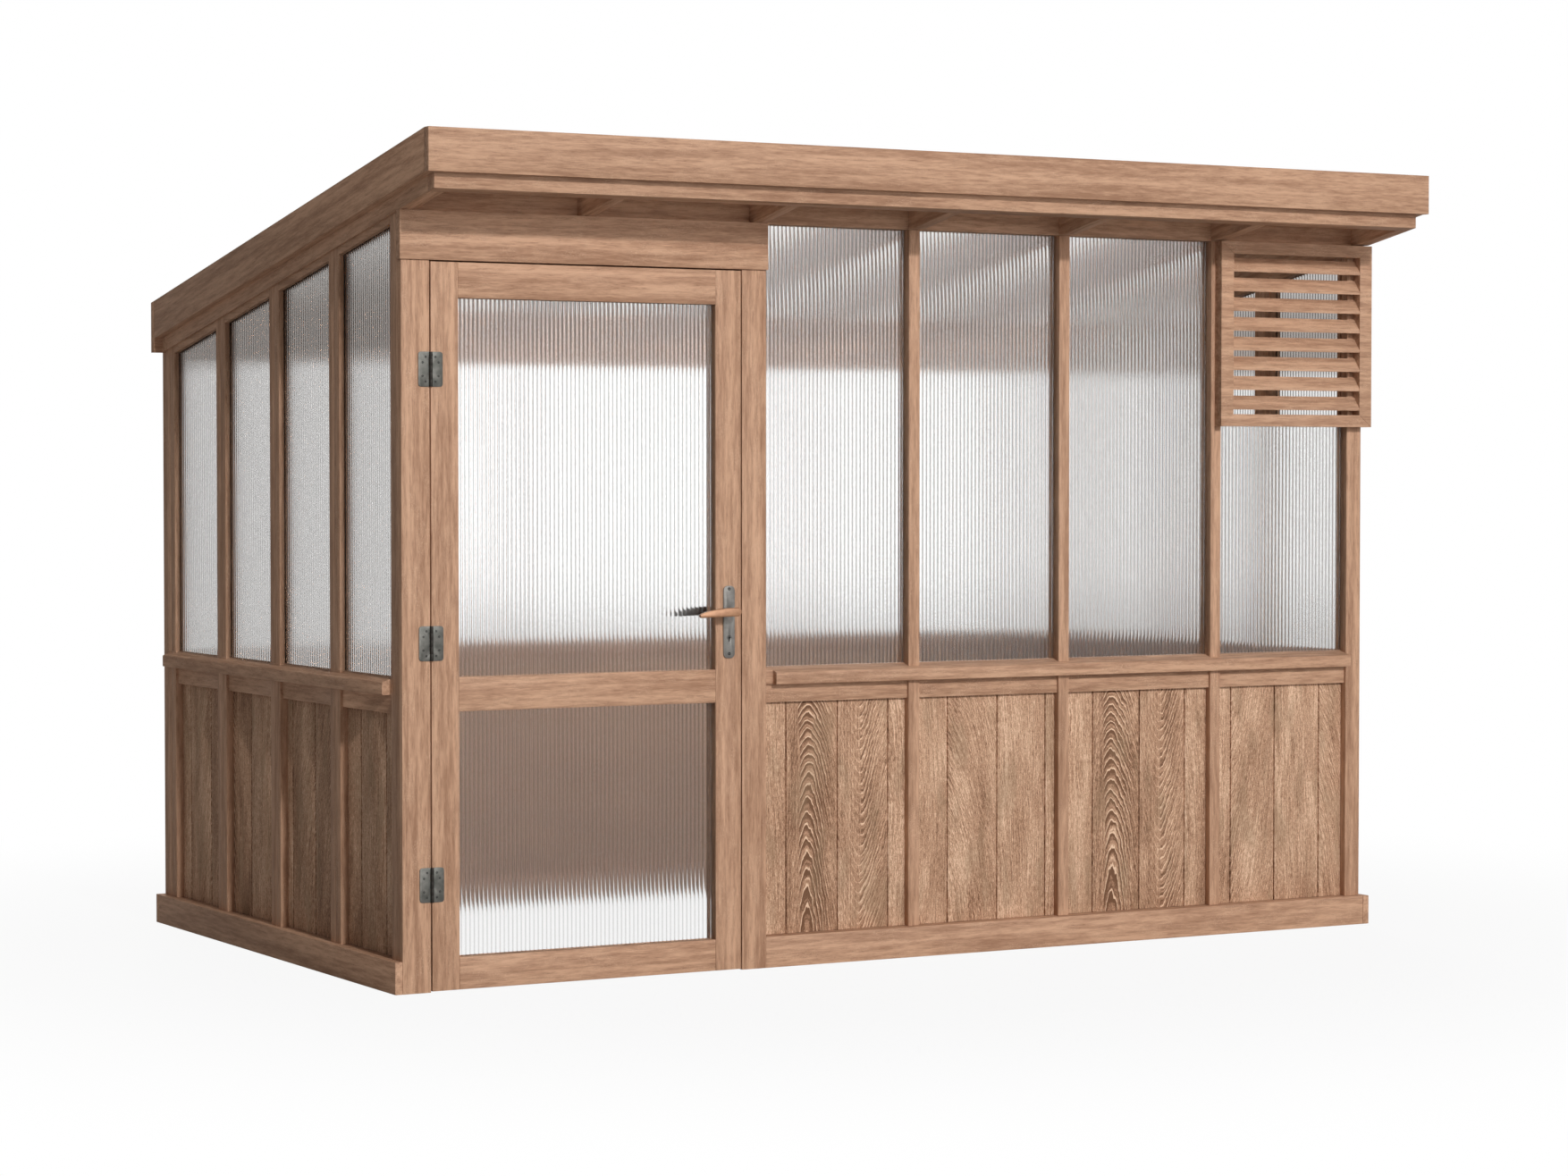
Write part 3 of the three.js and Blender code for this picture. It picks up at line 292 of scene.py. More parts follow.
@dataclass(frozen=True)
class OiledTimber:
    """Planed softwood with a brown oil: soft streaks along the grain, thin dark lines and pale flecks.

    Each scale says how many features a metre has along, across and into the timber.
    """

    name: str
    dark: Colour = linear(164, 124, 98)
    light: Colour = linear(211, 169, 139)
    line: Colour = linear(140, 100, 78)
    fleck: Colour = linear(226, 192, 164)
    roughness: float = 0.6
    bands: Scale = (1.6, 42, 42)
    streaks: Scale = (11, 120, 120)
    fibres: Scale = (45, 620, 620)
    waves: Scale = (14, 190, 190)
    specks: Scale = (480, 800, 800)
    patches: Scale = (9, 26, 26)
    relief: float = 0.0006

    def material(self) -> bpy.types.Material:
        """Builds the material."""
        shader, material = Shader.named(self.name)
        grain = shader.attribute("grain")
        band = shader.noise(grain, self.bands, 1)
        streak = shader.noise(grain, self.streaks, 3, 0.6)
        fibre = shader.noise(grain, self.fibres, 2, 0.6)
        tone = (band * 0.7 + streak * 0.8 + fibre * 0.5).over(0.7, 1.31)
        colour = shader.mix(tone, self.dark, self.light)
        wave = shader.noise(grain, self.waves, 2)
        lines = (1 - shader.math("ABSOLUTE", wave - 0.5).over(0.0, 0.022)) * streak.over(0.52, 0.4)
        colour = shader.mix(lines * 0.55, colour, self.line)
        specks = shader.noise(grain, self.specks, 0).over(0.66, 0.75)
        patches = shader.noise(grain, self.patches, 1).over(0.48, 0.6)
        colour = shader.mix(specks * patches * 0.8, colour, self.fleck)
        height = streak * 0.4 + fibre * 0.5 - lines * 0.4
        shader.finish(shader.principled({
            "Base Color": colour,
            "Roughness": self.roughness + 0.2 * (fibre - 0.5),
            "Specular IOR Level": 0.2,
            "Normal": shader.bump(height, self.relief, 0.5),
        }))
        return material


@dataclass(frozen=True)
class BrushedBoards:
    """Brushed boards: arched growth rings that stand up as pale ridges, partly their own colour and partly
    painted highlight, with painted shade in the hollow below each, between speckled fibres.

    The arches have one long flank, and are cut off short on the other side.
    """

    name: str = "brushed_boards"
    dark: Colour = linear(118, 84, 62)
    middle: Colour = linear(188, 147, 118)
    light: Colour = linear(240, 206, 176)
    grey: Colour = linear(150, 124, 97)
    rings_near: float = 70.0
    rings_bend: float = 300.0
    heart: float = 0.018
    sways: Scale = (2.6, 6, 6)
    shivers: Scale = (26, 70, 70)
    grits: Scale = (240, 560, 560)
    clouds: Scale = (4, 14, 14)
    stains: Scale = (5, 16, 16)
    straight_rings: float = 150.0
    relief: float = 0.0014

    def material(self) -> bpy.types.Material:
        """Builds the material."""
        shader, material = Shader.named(self.name)
        grain = shader.attribute("grain")
        along, across, _ = shader.parts(grain)
        above = shader.parts(shader.place())[2]
        foot, gain, strength = shader.parts(shader.attribute("figure"))
        short = shader.level("short")
        sway = shader.noise(grain, self.sways, 2) - 0.5
        shiver = shader.noise(grain, self.shivers, 2) - 0.5
        aside = across + sway * 0.03 + shiver * 0.004
        reach = shader.math("SQRT", aside * aside + self.heart ** 2)
        climb = above * (foot + above * gain * 0.5)
        ring = reach * self.rings_near + aside * aside * self.rings_bend + climb + sway * 3.0 + shiver * 0.7
        saw = shader.math("FRACT", ring)
        follow = (aside + short).over(-0.003, 0.0)
        figure = follow * (1 - aside.over(0.03, 0.09)) * strength
        # Each ring has a pale ridge, partly its own colour and partly painted highlight, and a hollow of
        # painted shade below it
        lit_ridge = (1 - saw.over(0.0, 0.16)) + saw.over(0.92, 1.0)
        shaded_hollow = saw.over(0.35, 0.85) * (1 - saw.over(0.86, 0.96))
        course = ring * follow + across * (self.straight_rings * (1 - follow))
        strand = shader.noise(shader.joined(course * 1.7, along * 6, 0.0), (1, 1, 1), 2, 0.6)
        dash = shader.noise(shader.joined(course * 3.6, along * 60, 5.0), (1, 1, 1), 1)
        grit = shader.noise(grain, self.grits, 1, 0.6)
        cloud = shader.noise(grain, self.clouds, 2)
        tone = (strand - 0.5) * 1.35 + (dash - 0.5) * 1.35 + (grit - 0.5) * 1.2 + (cloud - 0.5) * 0.9
        # The rings' figure adds the ridges' painted highlight and the hollows' painted shade to the boards'
        # own tone
        tone = tone + figure * (lit_ridge * 0.75 - shaded_hollow * 0.65) + (lit_ridge - 0.25) * 0.3 + (0.12 - strength * 0.2)
        colour = shader.mix((tone + 0.5).over(-0.1, 0.6), self.dark, self.middle)
        colour = shader.mix((tone + 0.5).over(0.45, 1.15), colour, self.light)
        stain = shader.noise(grain, self.stains, 1).over(0.5, 0.7)
        colour = shader.mix(stain * 0.35, colour, self.grey)
        height = strand * 0.4 + dash * 0.35 + grit * 0.25 + figure * (lit_ridge * 0.8 - shaded_hollow * 0.5)
        shader.finish(shader.principled({
            "Base Color": colour,
            "Roughness": 0.72 + 0.2 * (strand - 0.5),
            "Specular IOR Level": 0.2,
            "Normal": shader.bump(height, self.relief, 0.6),
        }))
        return material


@dataclass(frozen=True)
class ClearSheet:
    """Reeded glass or ribbed roof sheet: refracts what is behind it and lets the lamps' light in.

    shade: share of the lamps' light that one surface lets through.
    line: how much painted shade darkens the joint between two flutes.
    Painted shade darkens the glass right below the roof; the last four fields set its strength, its tint, the
    heights where it sets in and where it thins.
    """

    name: str
    colour: Colour
    roughness: float = 0.07
    shade: float = 0.3
    ior: float = 1.6
    line: float = 0.0
    joint_shade_tint: Colour = (0.2, 0.19, 0.18)
    under_roof_shade: float = 0.0
    under_roof_shade_tint: Colour = (0.36, 0.32, 0.29)
    under_roof_shade_from: tuple[float, float] = (1.67, 1.74)
    under_roof_shade_thins: tuple[float, float] = (1.84, 2.0)

    def tinted(self, tint: Colour) -> Colour:
        """The glass's colour, darkened by a tint."""
        return tuple(own * share for own, share in zip(self.colour, tint))

    def material(self) -> bpy.types.Material:
        """Builds the material."""
        shader, material = Shader.named(self.name)
        wave = shader.noise(shader.place(), (3, 3, 1.2), 1)
        # Painted shade along each joint between two flutes
        from_joint = shader.math("ABSOLUTE", shader.math("FRACT", shader.level("flute") + 0.5) - 0.5)
        line = (1 - from_joint.over(0.05, 0.2)) * self.line
        # Painted shade on the glass right below the roof, setting in between two heights and thinning higher
        # up
        above = shader.parts(shader.place())[2]
        under_roof_shade = above.over(*self.under_roof_shade_from) * (1 - above.over(*self.under_roof_shade_thins) * 0.45) * self.under_roof_shade
        under_roof_shaded = shader.mix(under_roof_shade, self.colour, self.tinted(self.under_roof_shade_tint))
        glass = shader.principled({
            "Base Color": shader.mix(line, under_roof_shaded, self.tinted(self.joint_shade_tint)),
            "Roughness": self.roughness + 0.03 * (wave - 0.5),
            "IOR": self.ior,
            "Transmission Weight": 1.0,
        })
        path = shader.node("LightPath")
        through = shader.node("BsdfTransparent", {}, {"Color": (self.shade,) * 3})
        mixed = shader.node("MixShader", {}, {
            0: path.outputs["Is Shadow Ray"], 1: glass, 2: through.outputs["BSDF"]})
        shader.finish(mixed.outputs["Shader"])
        return material


@dataclass(frozen=True)
class Metal:
    """Cast or rolled metal with a slightly uneven sheen, and painted shade on a hinge's barrel."""

    name: str
    colour: Colour
    worn: Colour
    metallic: float
    roughness: float
    grit: float = 0.0002
    clouds: Scale = (60, 60, 60)
    grits: Scale = (1500, 1500, 1500)
    # Colour of the painted shade on a hinge's barrel
    barrel: Colour = linear(44, 40, 36)

    def material(self) -> bpy.types.Material:
        """Builds the material."""
        shader, material = Shader.named(self.name)
        place = shader.place()
        cloud = shader.noise(place, self.clouds, 3)
        grit = shader.noise(place, self.grits, 2)
        tone = shader.mix(cloud.over(0.35, 0.7), self.colour, self.worn)
        # Faces marked as a hinge's barrel get painted shade
        shader.finish(shader.principled({
            "Base Color": shader.mix(shader.level("barrel"), tone, self.barrel),
            "Metallic": self.metallic,
            "Roughness": self.roughness + 0.18 * (cloud - 0.5) + 0.1 * (grit - 0.5),
            "Normal": shader.bump(grit, self.grit, 0.4),
        }))
        return material


class Finishes:
    """One material of each finish, made once."""

    def __init__(self) -> None:
        """Builds every material."""
        self.timber = OiledTimber("oiled_timber").material()
        self.boards = BrushedBoards().material()
        # The front and door glass carries painted shade along its flute joints
        self.glass = ClearSheet("reeded_glass", WHITE, line=0.38).material()
        # The end walls' glass carries painted shade at its flute joints and right below the roof
        self.end_glass = ClearSheet("reeded_glass_end_walls", linear(233, 232, 231), roughness=0.08,
                                    line=0.5, under_roof_shade=0.75).material()
        self.roof = ClearSheet("ribbed_roof_sheet", linear(247, 244, 240), roughness=0.3,
                               shade=0.5, ior=1.25).material()
        self.steel = Metal("brushed_steel", linear(112, 109, 105), linear(128, 125, 120),
                           metallic=0.5, roughness=0.48).material()
        self.hinge = Metal("hinge_steel", linear(88, 88, 83), linear(108, 106, 101),
                           metallic=0.6, roughness=0.5).material()
        self.dark = Metal("dark_steel", linear(66, 66, 64), linear(84, 82, 78),
                          metallic=0.7, roughness=0.45).material()
        self.bronze = Metal("warm_bronze", linear(164, 119, 88), linear(184, 138, 104),
                            metallic=0.3, roughness=0.38).material()
        # Near-black screw heads; the same material is the painted shade inside the keyholes
        self.screw = Metal("dark_screws_and_keyhole_shade", linear(13, 12, 11), linear(24, 22, 20),
                           metallic=0.0, roughness=0.75).material()


def deselect() -> None:
    """Leaves edit mode, with nothing selected."""
    if bpy.context.mode != "OBJECT":
        bpy.ops.object.mode_set(mode="OBJECT")
    bpy.ops.object.select_all(action="DESELECT")


def activate(*pieces: Piece) -> None:
    """Selects these pieces alone, the first as the active one."""
    deselect()
    for piece in pieces:
        piece.select_set(True)
    bpy.context.view_layer.objects.active = pieces[0]


class Editing:
    """Edit mode on one piece, with nothing selected at first."""

    def __init__(self, piece: Piece, mode: str = "FACE") -> None:
        """Args: piece, and mode, which is VERT, EDGE or FACE."""
        self.piece = piece
        self.mode = mode

    def __enter__(self) -> "Editing":
        """Goes into edit mode."""
        activate(self.piece)
        bpy.ops.object.mode_set(mode="EDIT")
        bpy.ops.mesh.select_mode(type=self.mode)
        bpy.ops.mesh.select_all(action="DESELECT")
        return self

    def __exit__(self, kind: type | None, error: BaseException | None, trace: TracebackType | None) -> None:
        """Goes back to object mode."""
        bpy.ops.object.mode_set(mode="OBJECT")

    def pick(self, test: Callable[[object], bool]) -> int:
        """Selects the vertices, edges or faces that pass a test, and returns how many."""
        shape = bmesh.from_edit_mesh(self.piece.data)
        parts = {"VERT": shape.verts, "EDGE": shape.edges, "FACE": shape.faces}[self.mode]
        chosen = 0
        for part in parts:
            part.select_set(False)
        for part in parts:
            if test(part):
                part.select_set(True)
                chosen += 1
        shape.select_flush_mode()
        bmesh.update_edit_mesh(self.piece.data)
        return chosen

    def cut(self, place: Sequence[float], normal: Sequence[float], **options: bool) -> None:
        """Cuts the whole piece along a plane, whose options fill the cut or clear one side."""
        bpy.ops.mesh.select_all(action="SELECT")
        bpy.ops.mesh.bisect(plane_co=place, plane_no=normal, **options)

    def face_outwards(self) -> None:
        """Turns every face outwards."""
        bpy.ops.mesh.select_all(action="SELECT")
        bpy.ops.mesh.normals_make_consistent(inside=False)


def apply_modifiers(piece: Piece) -> None:
    """Applies a piece's modifiers in their order."""
    activate(piece)
    for modifier in list(piece.modifiers):
        bpy.ops.object.modifier_apply(modifier=modifier.name)


def settle_place(piece: Piece) -> None:
    """Puts a piece's place, turn and size into its mesh."""
    activate(piece)
    bpy.ops.object.transform_apply(location=True, rotation=True, scale=True)


def smooth(piece: Piece, degrees: float = 40.0) -> None:
    """Smooth shading, with sharp edges past an angle."""
    activate(piece)
    bpy.ops.object.shade_smooth_by_angle(angle=math.radians(degrees))


def dress(piece: Piece, name: str, body: Body, material: bpy.types.Material,
          nodes: Sequence[str] = ()) -> Piece:
    """Names a finished piece and gives it its material and body.

    Args:
        piece: mesh in its place.
        name: name of the piece.
        body: body that it rides on.
        material: its material.
        nodes: CAD nodes that it stands for.

    Returns:
        The piece.
    """
    piece.name = name
    piece.data.name = name
    piece.data.materials.clear()
    piece.data.materials.append(material)
    if nodes:
        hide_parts(*nodes)
    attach(piece, body.value)
    return piece


def carried(node: str) -> Piece:
    """Copy of a CAD node's mesh, its loose triangles merged and its flat faces made whole."""
    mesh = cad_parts[node].data.copy()
    piece = bpy.data.objects.new(node + "_copy", mesh)
    bpy.context.scene.collection.objects.link(piece)
    activate(piece)
    if mesh.has_custom_normals:
        bpy.ops.mesh.customdata_custom_splitnormals_clear()
    with Editing(piece, "VERT"):
        bpy.ops.mesh.select_all(action="SELECT")
        bpy.ops.mesh.remove_doubles(threshold=SAME)
        bpy.ops.mesh.dissolve_limited(angle_limit=FLAT)
    return piece


def soften(piece: Piece, width: float, segments: int = 2, degrees: float = 30.0) -> None:
    """Rounds the arrises of a piece."""
    bevel = piece.modifiers.new("arris", "BEVEL")
    bevel.width = width
    bevel.segments = segments
    bevel.limit_method = "ANGLE"
    bevel.angle_limit = math.radians(degrees)
    apply_modifiers(piece)
    smooth(piece)


@dataclass(frozen=True)
class Grain:
    """How the grain lies in one timber: its direction, and where on the log it was cut."""

    run: Vector
    shift: Vector = Vector((0, 0, 0))
    middle: Vector = Vector((0, 0, 0))
    side: Vector | None = None
    figure: Vector = Vector((0, 0, 0))
    short: float = 0.0

    def local(self, place: Vector) -> Vector:
        """Place along, across and into the timber."""
        along = self.run
        level = Vector((0, 0, 1)) if abs(along.z) < 0.9 else Vector((0, 1, 0))
        side = self.side or along.cross(level).normalized()
        rest = place - self.middle
        return Vector((rest.dot(along), rest.dot(side), rest.dot(side.cross(along)))) + self.shift


def lay_grain(piece: Piece, grain_at: Callable[[Vector], Grain]) -> None:
    """Writes on each corner of a piece where it lies in its timber.

    Args:
        piece: the piece.
        grain_at: the grain of the timber that a face's middle belongs to.
    """
    mesh = piece.data
    for name, kind, domain in (("grain", "FLOAT_VECTOR", "CORNER"), ("figure", "FLOAT_VECTOR", "FACE"),
                               ("short", "FLOAT", "FACE")):
        mesh.attributes.new(name, kind, domain)
    layer, figure, short = (mesh.attributes[name] for name in ("grain", "figure", "short"))
    for face in mesh.polygons:
        grain = grain_at(face.center)
        figure.data[face.index].vector = grain.figure
        short.data[face.index].value = grain.short
        for corner in face.loop_indices:
            place = mesh.vertices[mesh.loops[corner].vertex_index].co
            layer.data[corner].vector = grain.local(place)


@dataclass
class Draw:
    """Seeded draws for what differs from one timber to the next."""

    seed: int
    reach: tuple[float, float, float] = (40, 20, 20)
    dice: random.Random = field(init=False)

    def __post_init__(self) -> None:
        """Seeds the dice."""
        self.dice = random.Random(self.seed)

    def shift(self) -> Vector:
        """Place on an endless log."""
        return Vector([self.dice.uniform(0, reach) for reach in self.reach])


@dataclass
class Timbers:
    """Timbers whose grain runs one way from end to end."""

    finishes: Finishes
    arris: float = 0.0012
    draw: Draw = field(default_factory=lambda: Draw(11))
    shell: Sequence[tuple[Run, Sequence[str]]] = (
        (Run.ALONG_X, ("plinth_front", "plinth_rear")),
        (Run.ALONG_Y, ("plinth_left", "plinth_right")),
        (Run.ALONG_Z, ("door_hinge_post", "door_lock_post", "corner_post_front_right")),
        (Run.ALONG_X, ("door_header",)),
        (Run.ALONG_Z, ("front_mullion_1", "front_mullion_2", "front_mullion_3")),
        (Run.ALONG_X, ("front_top_plate", "front_sill", "louvre_vent", "louvre_transom")),
        (Run.ALONG_X, ("fascia_front", "fascia_rear")),
        (Run.DOWN_ROOF, ("fascia_left", "fascia_right")),
        (Run.DOWN_ROOF, ("rafter_1", "rafter_2", "rafter_3", "rafter_4", "rafter_5")))
    leaf: Sequence[tuple[Run, Sequence[str]]] = (
        (Run.ALONG_Z, ("door_hinge_stile", "door_lock_stile")),
        (Run.ALONG_X, ("door_top_rail", "door_mid_rail", "door_bottom_rail")))

    def timber(self, node: str, body: Body, run: Run) -> None:
        """Builds one timber."""
        piece = carried(node)
        soften(piece, self.arris)
        grain = Grain(run.value, self.draw.shift())
        lay_grain(piece, lambda _: grain)
        dress(piece, node + "_timber", body, self.finishes.timber, [node])

    def build(self) -> int:
        """Builds every timber, and returns how many."""
        plans = [(node, body, run) for body, groups in ((Body.GREENHOUSE, self.shell), (Body.DOOR, self.leaf))
                 for run, nodes in groups for node in nodes]
        for plan in plans:
            self.timber(*plan)
        return len(plans)


def along_wall(run: Run, place: Vector) -> float:
    """How far along its wall a place lies, from the wall's left or front end."""
    return place.x - WALL_LEFT if run is Run.ALONG_X else place.y - WALL_FRONT


@dataclass
class WallFrame:
    """Frame of an end wall or the rear wall: upright stiles, and rails that run along the wall.

    sill_reach: how far above the sill's top a face still takes the sill's grain.
    """

    finishes: Finishes
    node: str
    run: Run
    joints: Sequence[float]
    stile: float
    ends: tuple[float, float]
    rail_foot: Callable[[Vector], float]
    arris: float = 0.001
    sill_reach: float = 0.001
    seed: int = 5

    def is_upright(self, place: Vector) -> bool:
        """True on a stile or a corner post."""
        at = along_wall(self.run, place)
        between = self.ends[0] < at < self.ends[1]
        return not between or any(abs(at - joint) < self.stile for joint in self.joints)

    def build(self) -> None:
        """Cuts the wall's faces where two timbers meet, and dresses the frame."""
        piece = carried(self.node)
        along = self.run.value
        cuts = [*self.ends, *(j + s * self.stile for j in self.joints for s in (-1, 1)), *self.joints]
        origin = Vector((WALL_LEFT, WALL_FRONT, 0))
        with Editing(piece) as edit:
            for at in cuts:
                edit.cut(origin + along * at, along)
            for height in (APRON_FOOT, SILL_FOOT, SILL_TOP):
                edit.cut((0, 0, height), (0, 0, 1))
        soften(piece, self.arris)
        draw = Draw(self.seed)
        uprights = [draw.shift() for _ in range(2 * len(self.joints) + 2)]
        rails = [draw.shift() for _ in range(3)]

        def grain_at(place: Vector) -> Grain:
            """Grain of the timber at a place."""
            in_sill = SILL_FOOT < place.z < SILL_TOP + self.sill_reach
            over_rail = place.z > self.rail_foot(place)
            if in_sill or over_rail or (APRON_FOOT < place.z <= SILL_FOOT and not self.is_upright(place)):
                return Grain(along, rails[0 if in_sill else 1 if over_rail else 2])
            passed = sum(along_wall(self.run, place) > joint for joint in self.joints)
            return Grain(Run.ALONG_Z.value, uprights[passed])

        lay_grain(piece, grain_at)
        dress(piece, self.node + "_timber", Body.GREENHOUSE, self.finishes.timber, [self.node])


@dataclass(frozen=True)
class Cut:
    """How a board was cut from its log.

    heart: how far the arches' middle lies from the board's middle.
    foot: rings met per metre up the board at its foot, below zero where the arches point down.
    gain: how many more are met with each metre of height.
    figure: how strongly the arches stand out.
    short: how far beyond their middle the arches are cut off.
    """

    heart: float
    foot: float
    gain: float = 0.0
    figure: float = 0.1
    short: float = 0.024


@dataclass
class Boarding:
    """Upright tongued boards of one wall, each with its own rings."""

    finishes: Finishes
    node: str
    run: Run
    joints: Sequence[float]
    seed: int
    plans: Sequence[Cut]
    arris: float = 0.0012
    outermost: float = 0.1

    def build(self) -> None:
        """Rounds the boards' edges and lays the grain of each."""
        piece = carried(self.node)
        soften(piece, self.arris)
        draw = Draw(self.seed)
        edges = [self.joints[0] - self.outermost, *self.joints, self.joints[-1] + self.outermost]
        grains = []
        for index, (left, right) in enumerate(zip(edges, edges[1:])):
            shift = draw.shift()
            plan = self.plans[index % len(self.plans)]
            heart = (left + right) / 2 + plan.heart
            middle = self.run.value * heart + Vector((WALL_LEFT, WALL_FRONT, 0))
            grains.append(Grain(Run.ALONG_Z.value, Vector((shift.x, 0, shift.z)), middle, self.run.value,
                                Vector((plan.foot, plan.gain, plan.figure)), plan.short))
        lay_grain(piece, lambda place: grains[sum(along_wall(self.run, place) > at for at in self.joints)])
        dress(piece, self.node + "_boards", Body.GREENHOUSE, self.finishes.boards, [self.node])


@dataclass(frozen=True)
class Pane:
    """Place of one fluted pane: the wall line that it starts from, and its turn about Z."""

    name: str
    node: str
    width: float
    foot: float
    top: float
    corner: Vector
    turn: float = 0.0
    body: Body = Body.GREENHOUSE
    slope: float | None = None


@dataclass
class FlutedGlazing:
    """Fluted panes: one flute is shaped, repeated across the pane and closed at both ends."""

    finishes: Finishes
    panes: Sequence[Pane]
    pitch: float
    thickness: float = 0.006
    height: float = 0.0014
    columns: int = 8
    crease: float = 50.0

    def flute(self, step: float, foot: float, top: float) -> Piece:
        """One flute from X 0 to a step, its crest at Y 0 and its back at the pane's thickness."""
        bpy.ops.mesh.primitive_cube_add(
            size=1, location=(step / 2, (self.height + self.thickness) / 2, (foot + top) / 2),
            scale=(step, self.thickness - self.height, top - foot))
        piece = bpy.context.object
        settle_place(piece)
        front = self.height + SAME
        with Editing(piece) as edit:
            edit.pick(lambda face: abs(face.normal.x) > 0.9)
            bpy.ops.mesh.delete(type="ONLY_FACE")
        with Editing(piece, "EDGE") as edit:
            edit.pick(lambda edge: all(v.co.y < front for v in edge.verts)
                      and abs(edge.verts[0].co.z - edge.verts[1].co.z) < SAME)
            bpy.ops.mesh.subdivide(number_cuts=self.columns - 1)
        with Editing(piece, "VERT") as edit:
            for column in range(1, self.columns):
                at = column * step / self.columns
                edit.pick(lambda vert: vert.co.y < front and abs(vert.co.x - at) < SAME)
                rise = self.height * math.sqrt(1 - (2 * column / self.columns - 1) ** 2)
                bpy.ops.transform.translate(value=(0, -rise, 0))
        return piece

    def row(self, width: float, foot: float, top: float) -> tuple[Piece, float]:
        """Closed row of flutes that starts at X 0.

        Args:
            width: width of the row.
            foot: height of its foot.
            top: height of its top.

        Returns:
            The row, and the width of one flute.
        """
        count = max(1, round(width / self.pitch))
        step = width / count
        piece = self.flute(step, foot, top)
        array = piece.modifiers.new("flutes", "ARRAY")
        array.count = count
        array.use_relative_offset = False
        array.use_constant_offset = True
        array.constant_offset_displace = (step, 0, 0)
        array.use_merge_vertices = True
        array.merge_threshold = SAME
        apply_modifiers(piece)
        for at in (0.0, width):
            with Editing(piece, "EDGE") as edit:
                edit.pick(lambda edge: all(abs(v.co.x - at) < SAME for v in edge.verts))
                bpy.ops.mesh.edge_face_add()
        return piece, step

    def pane(self, plan: Pane) -> None:
        """Builds one pane and sets it in its wall."""
        piece, step = self.row(plan.width, plan.foot, plan.top)
        piece.rotation_euler = (0, 0, plan.turn)
        piece.location = plan.corner
        settle_place(piece)
        with Editing(piece) as edit:
            if plan.slope is not None:
                edit.cut((0, ROOF_FRONT, ROOF_TOP - plan.slope),
                         (0, math.sin(ROOF_PITCH), math.cos(ROOF_PITCH)), use_fill=True, clear_outer=True)
            edit.face_outwards()
        smooth(piece, self.crease)
        along = Vector((math.cos(plan.turn), math.sin(plan.turn), 0))
        piece.data.attributes.new("flute", "FLOAT", "POINT")
        for vertex, layer in zip(piece.data.vertices, piece.data.attributes["flute"].data):
            layer.value = (vertex.co - plan.corner).dot(along) / step
        in_end_wall = plan.slope is not None
        glass = self.finishes.end_glass if in_end_wall else self.finishes.glass
        dress(piece, plan.name, plan.body, glass, [plan.node])

    def build(self) -> int:
        """Builds every pane, and returns how many."""
        for plan in self.panes:
            self.pane(plan)
        return len(self.panes)


@dataclass
class RoofSheet:
    """Translucent sheet on the roof, its ribs running down the slope."""

    finishes: Finishes
    pitch: float = 0.076
    thickness: float = 0.010
    height: float = 0.004
    columns: int = 6
    inset: float = 0.001
    drop: float = 0.0124

    def build(self) -> None:
        """Shapes the sheet as a fluted pane and tilts it to the roof."""
        low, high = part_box("roof_sheet")
        ribs = FlutedGlazing(self.finishes, (), self.pitch, self.thickness * math.cos(ROOF_PITCH),
                             self.height, self.columns)
        length = (high.y - low.y) / math.cos(ROOF_PITCH) - self.thickness * math.sin(ROOF_PITCH)
        piece, _ = ribs.row(high.x - low.x, 0.0, length)
        piece.rotation_euler = (-math.pi / 2 - ROOF_PITCH, 0, 0)
        piece.location = (low.x, low.y + self.inset, roof_line(low.y) - self.drop)
        settle_place(piece)
        with Editing(piece) as edit:
            edit.face_outwards()
        smooth(piece, ribs.crease)
        dress(piece, "ribbed_roof_sheet", Body.GREENHOUSE, self.finishes.roof,
              ["roof_sheet"])


@dataclass
class ScrewHeads:
    """Screw heads with a star recess: one head is shaped, copied to each place and joined.

    Rim, slope and star are shares of the radius, step is a share of what stands proud, and pinch
    draws every second corner of the star in.
    """

    finishes: Finishes
    radius: float = 0.0029
    proud: float = 0.0004
    sunk: float = 0.0012
    recess: float = 0.0011
    sides: int = 12
    rim: float = 0.16
    step: float = 0.4
    slope: float = 0.24
    star: float = 0.62
    pinch: float = 0.6
    crease: float = 30.0

    def head(self) -> Piece:
        """One head at the origin that faces -Y."""
        bpy.ops.mesh.primitive_cylinder_add(
            vertices=self.sides, radius=self.radius, depth=self.proud + self.sunk,
            location=(0, (self.sunk - self.proud) / 2, 0), rotation=(math.pi / 2, 0, 0))
        piece = bpy.context.object
        settle_place(piece)
        with Editing(piece) as edit:
            edit.pick(lambda face: face.normal.y < -0.9)
            bpy.ops.mesh.inset(thickness=self.radius * self.rim, depth=self.proud * self.step)
            bpy.ops.mesh.inset(thickness=self.radius * self.slope)
            bpy.ops.mesh.extrude_region_move(TRANSFORM_OT_translate={"value": (0, self.recess, 0)})
        with Editing(piece, "VERT") as edit:
            turn = 2 * math.pi / self.sides
            inner = self.radius * self.star
            edit.pick(lambda vert: Vector((vert.co.x, vert.co.z)).length < inner
                      and round(math.atan2(vert.co.z, vert.co.x) / turn - 0.25) % 2 == 0)
            bpy.ops.transform.resize(value=(self.pinch, 1, self.pinch), center_override=(0, 0, 0))
        return piece

    def build(self, name: str, body: Body, places: Sequence[Vector], turn: float = 0.0) -> int:
        """Sets heads at these places on one body.

        Args:
            name: name of the group.
            body: body that they ride on.
            places: middle of each head, on the surface that it sits in.
            turn: turn about Z from facing -Y.

        Returns:
            How many heads.
        """
        first = self.head()
        first.rotation_euler = (0, 0, turn)
        settle_place(first)
        heads = [first]
        for place in places[1:]:
            copy = first.copy()
            copy.data = first.data.copy()
            copy.location = place
            bpy.context.scene.collection.objects.link(copy)
            heads.append(copy)
        first.location = places[0]
        activate(*heads)
        bpy.ops.object.join()
        settle_place(first)
        smooth(first, self.crease)
        dress(first, name, body, self.finishes.screw)
        return len(heads)


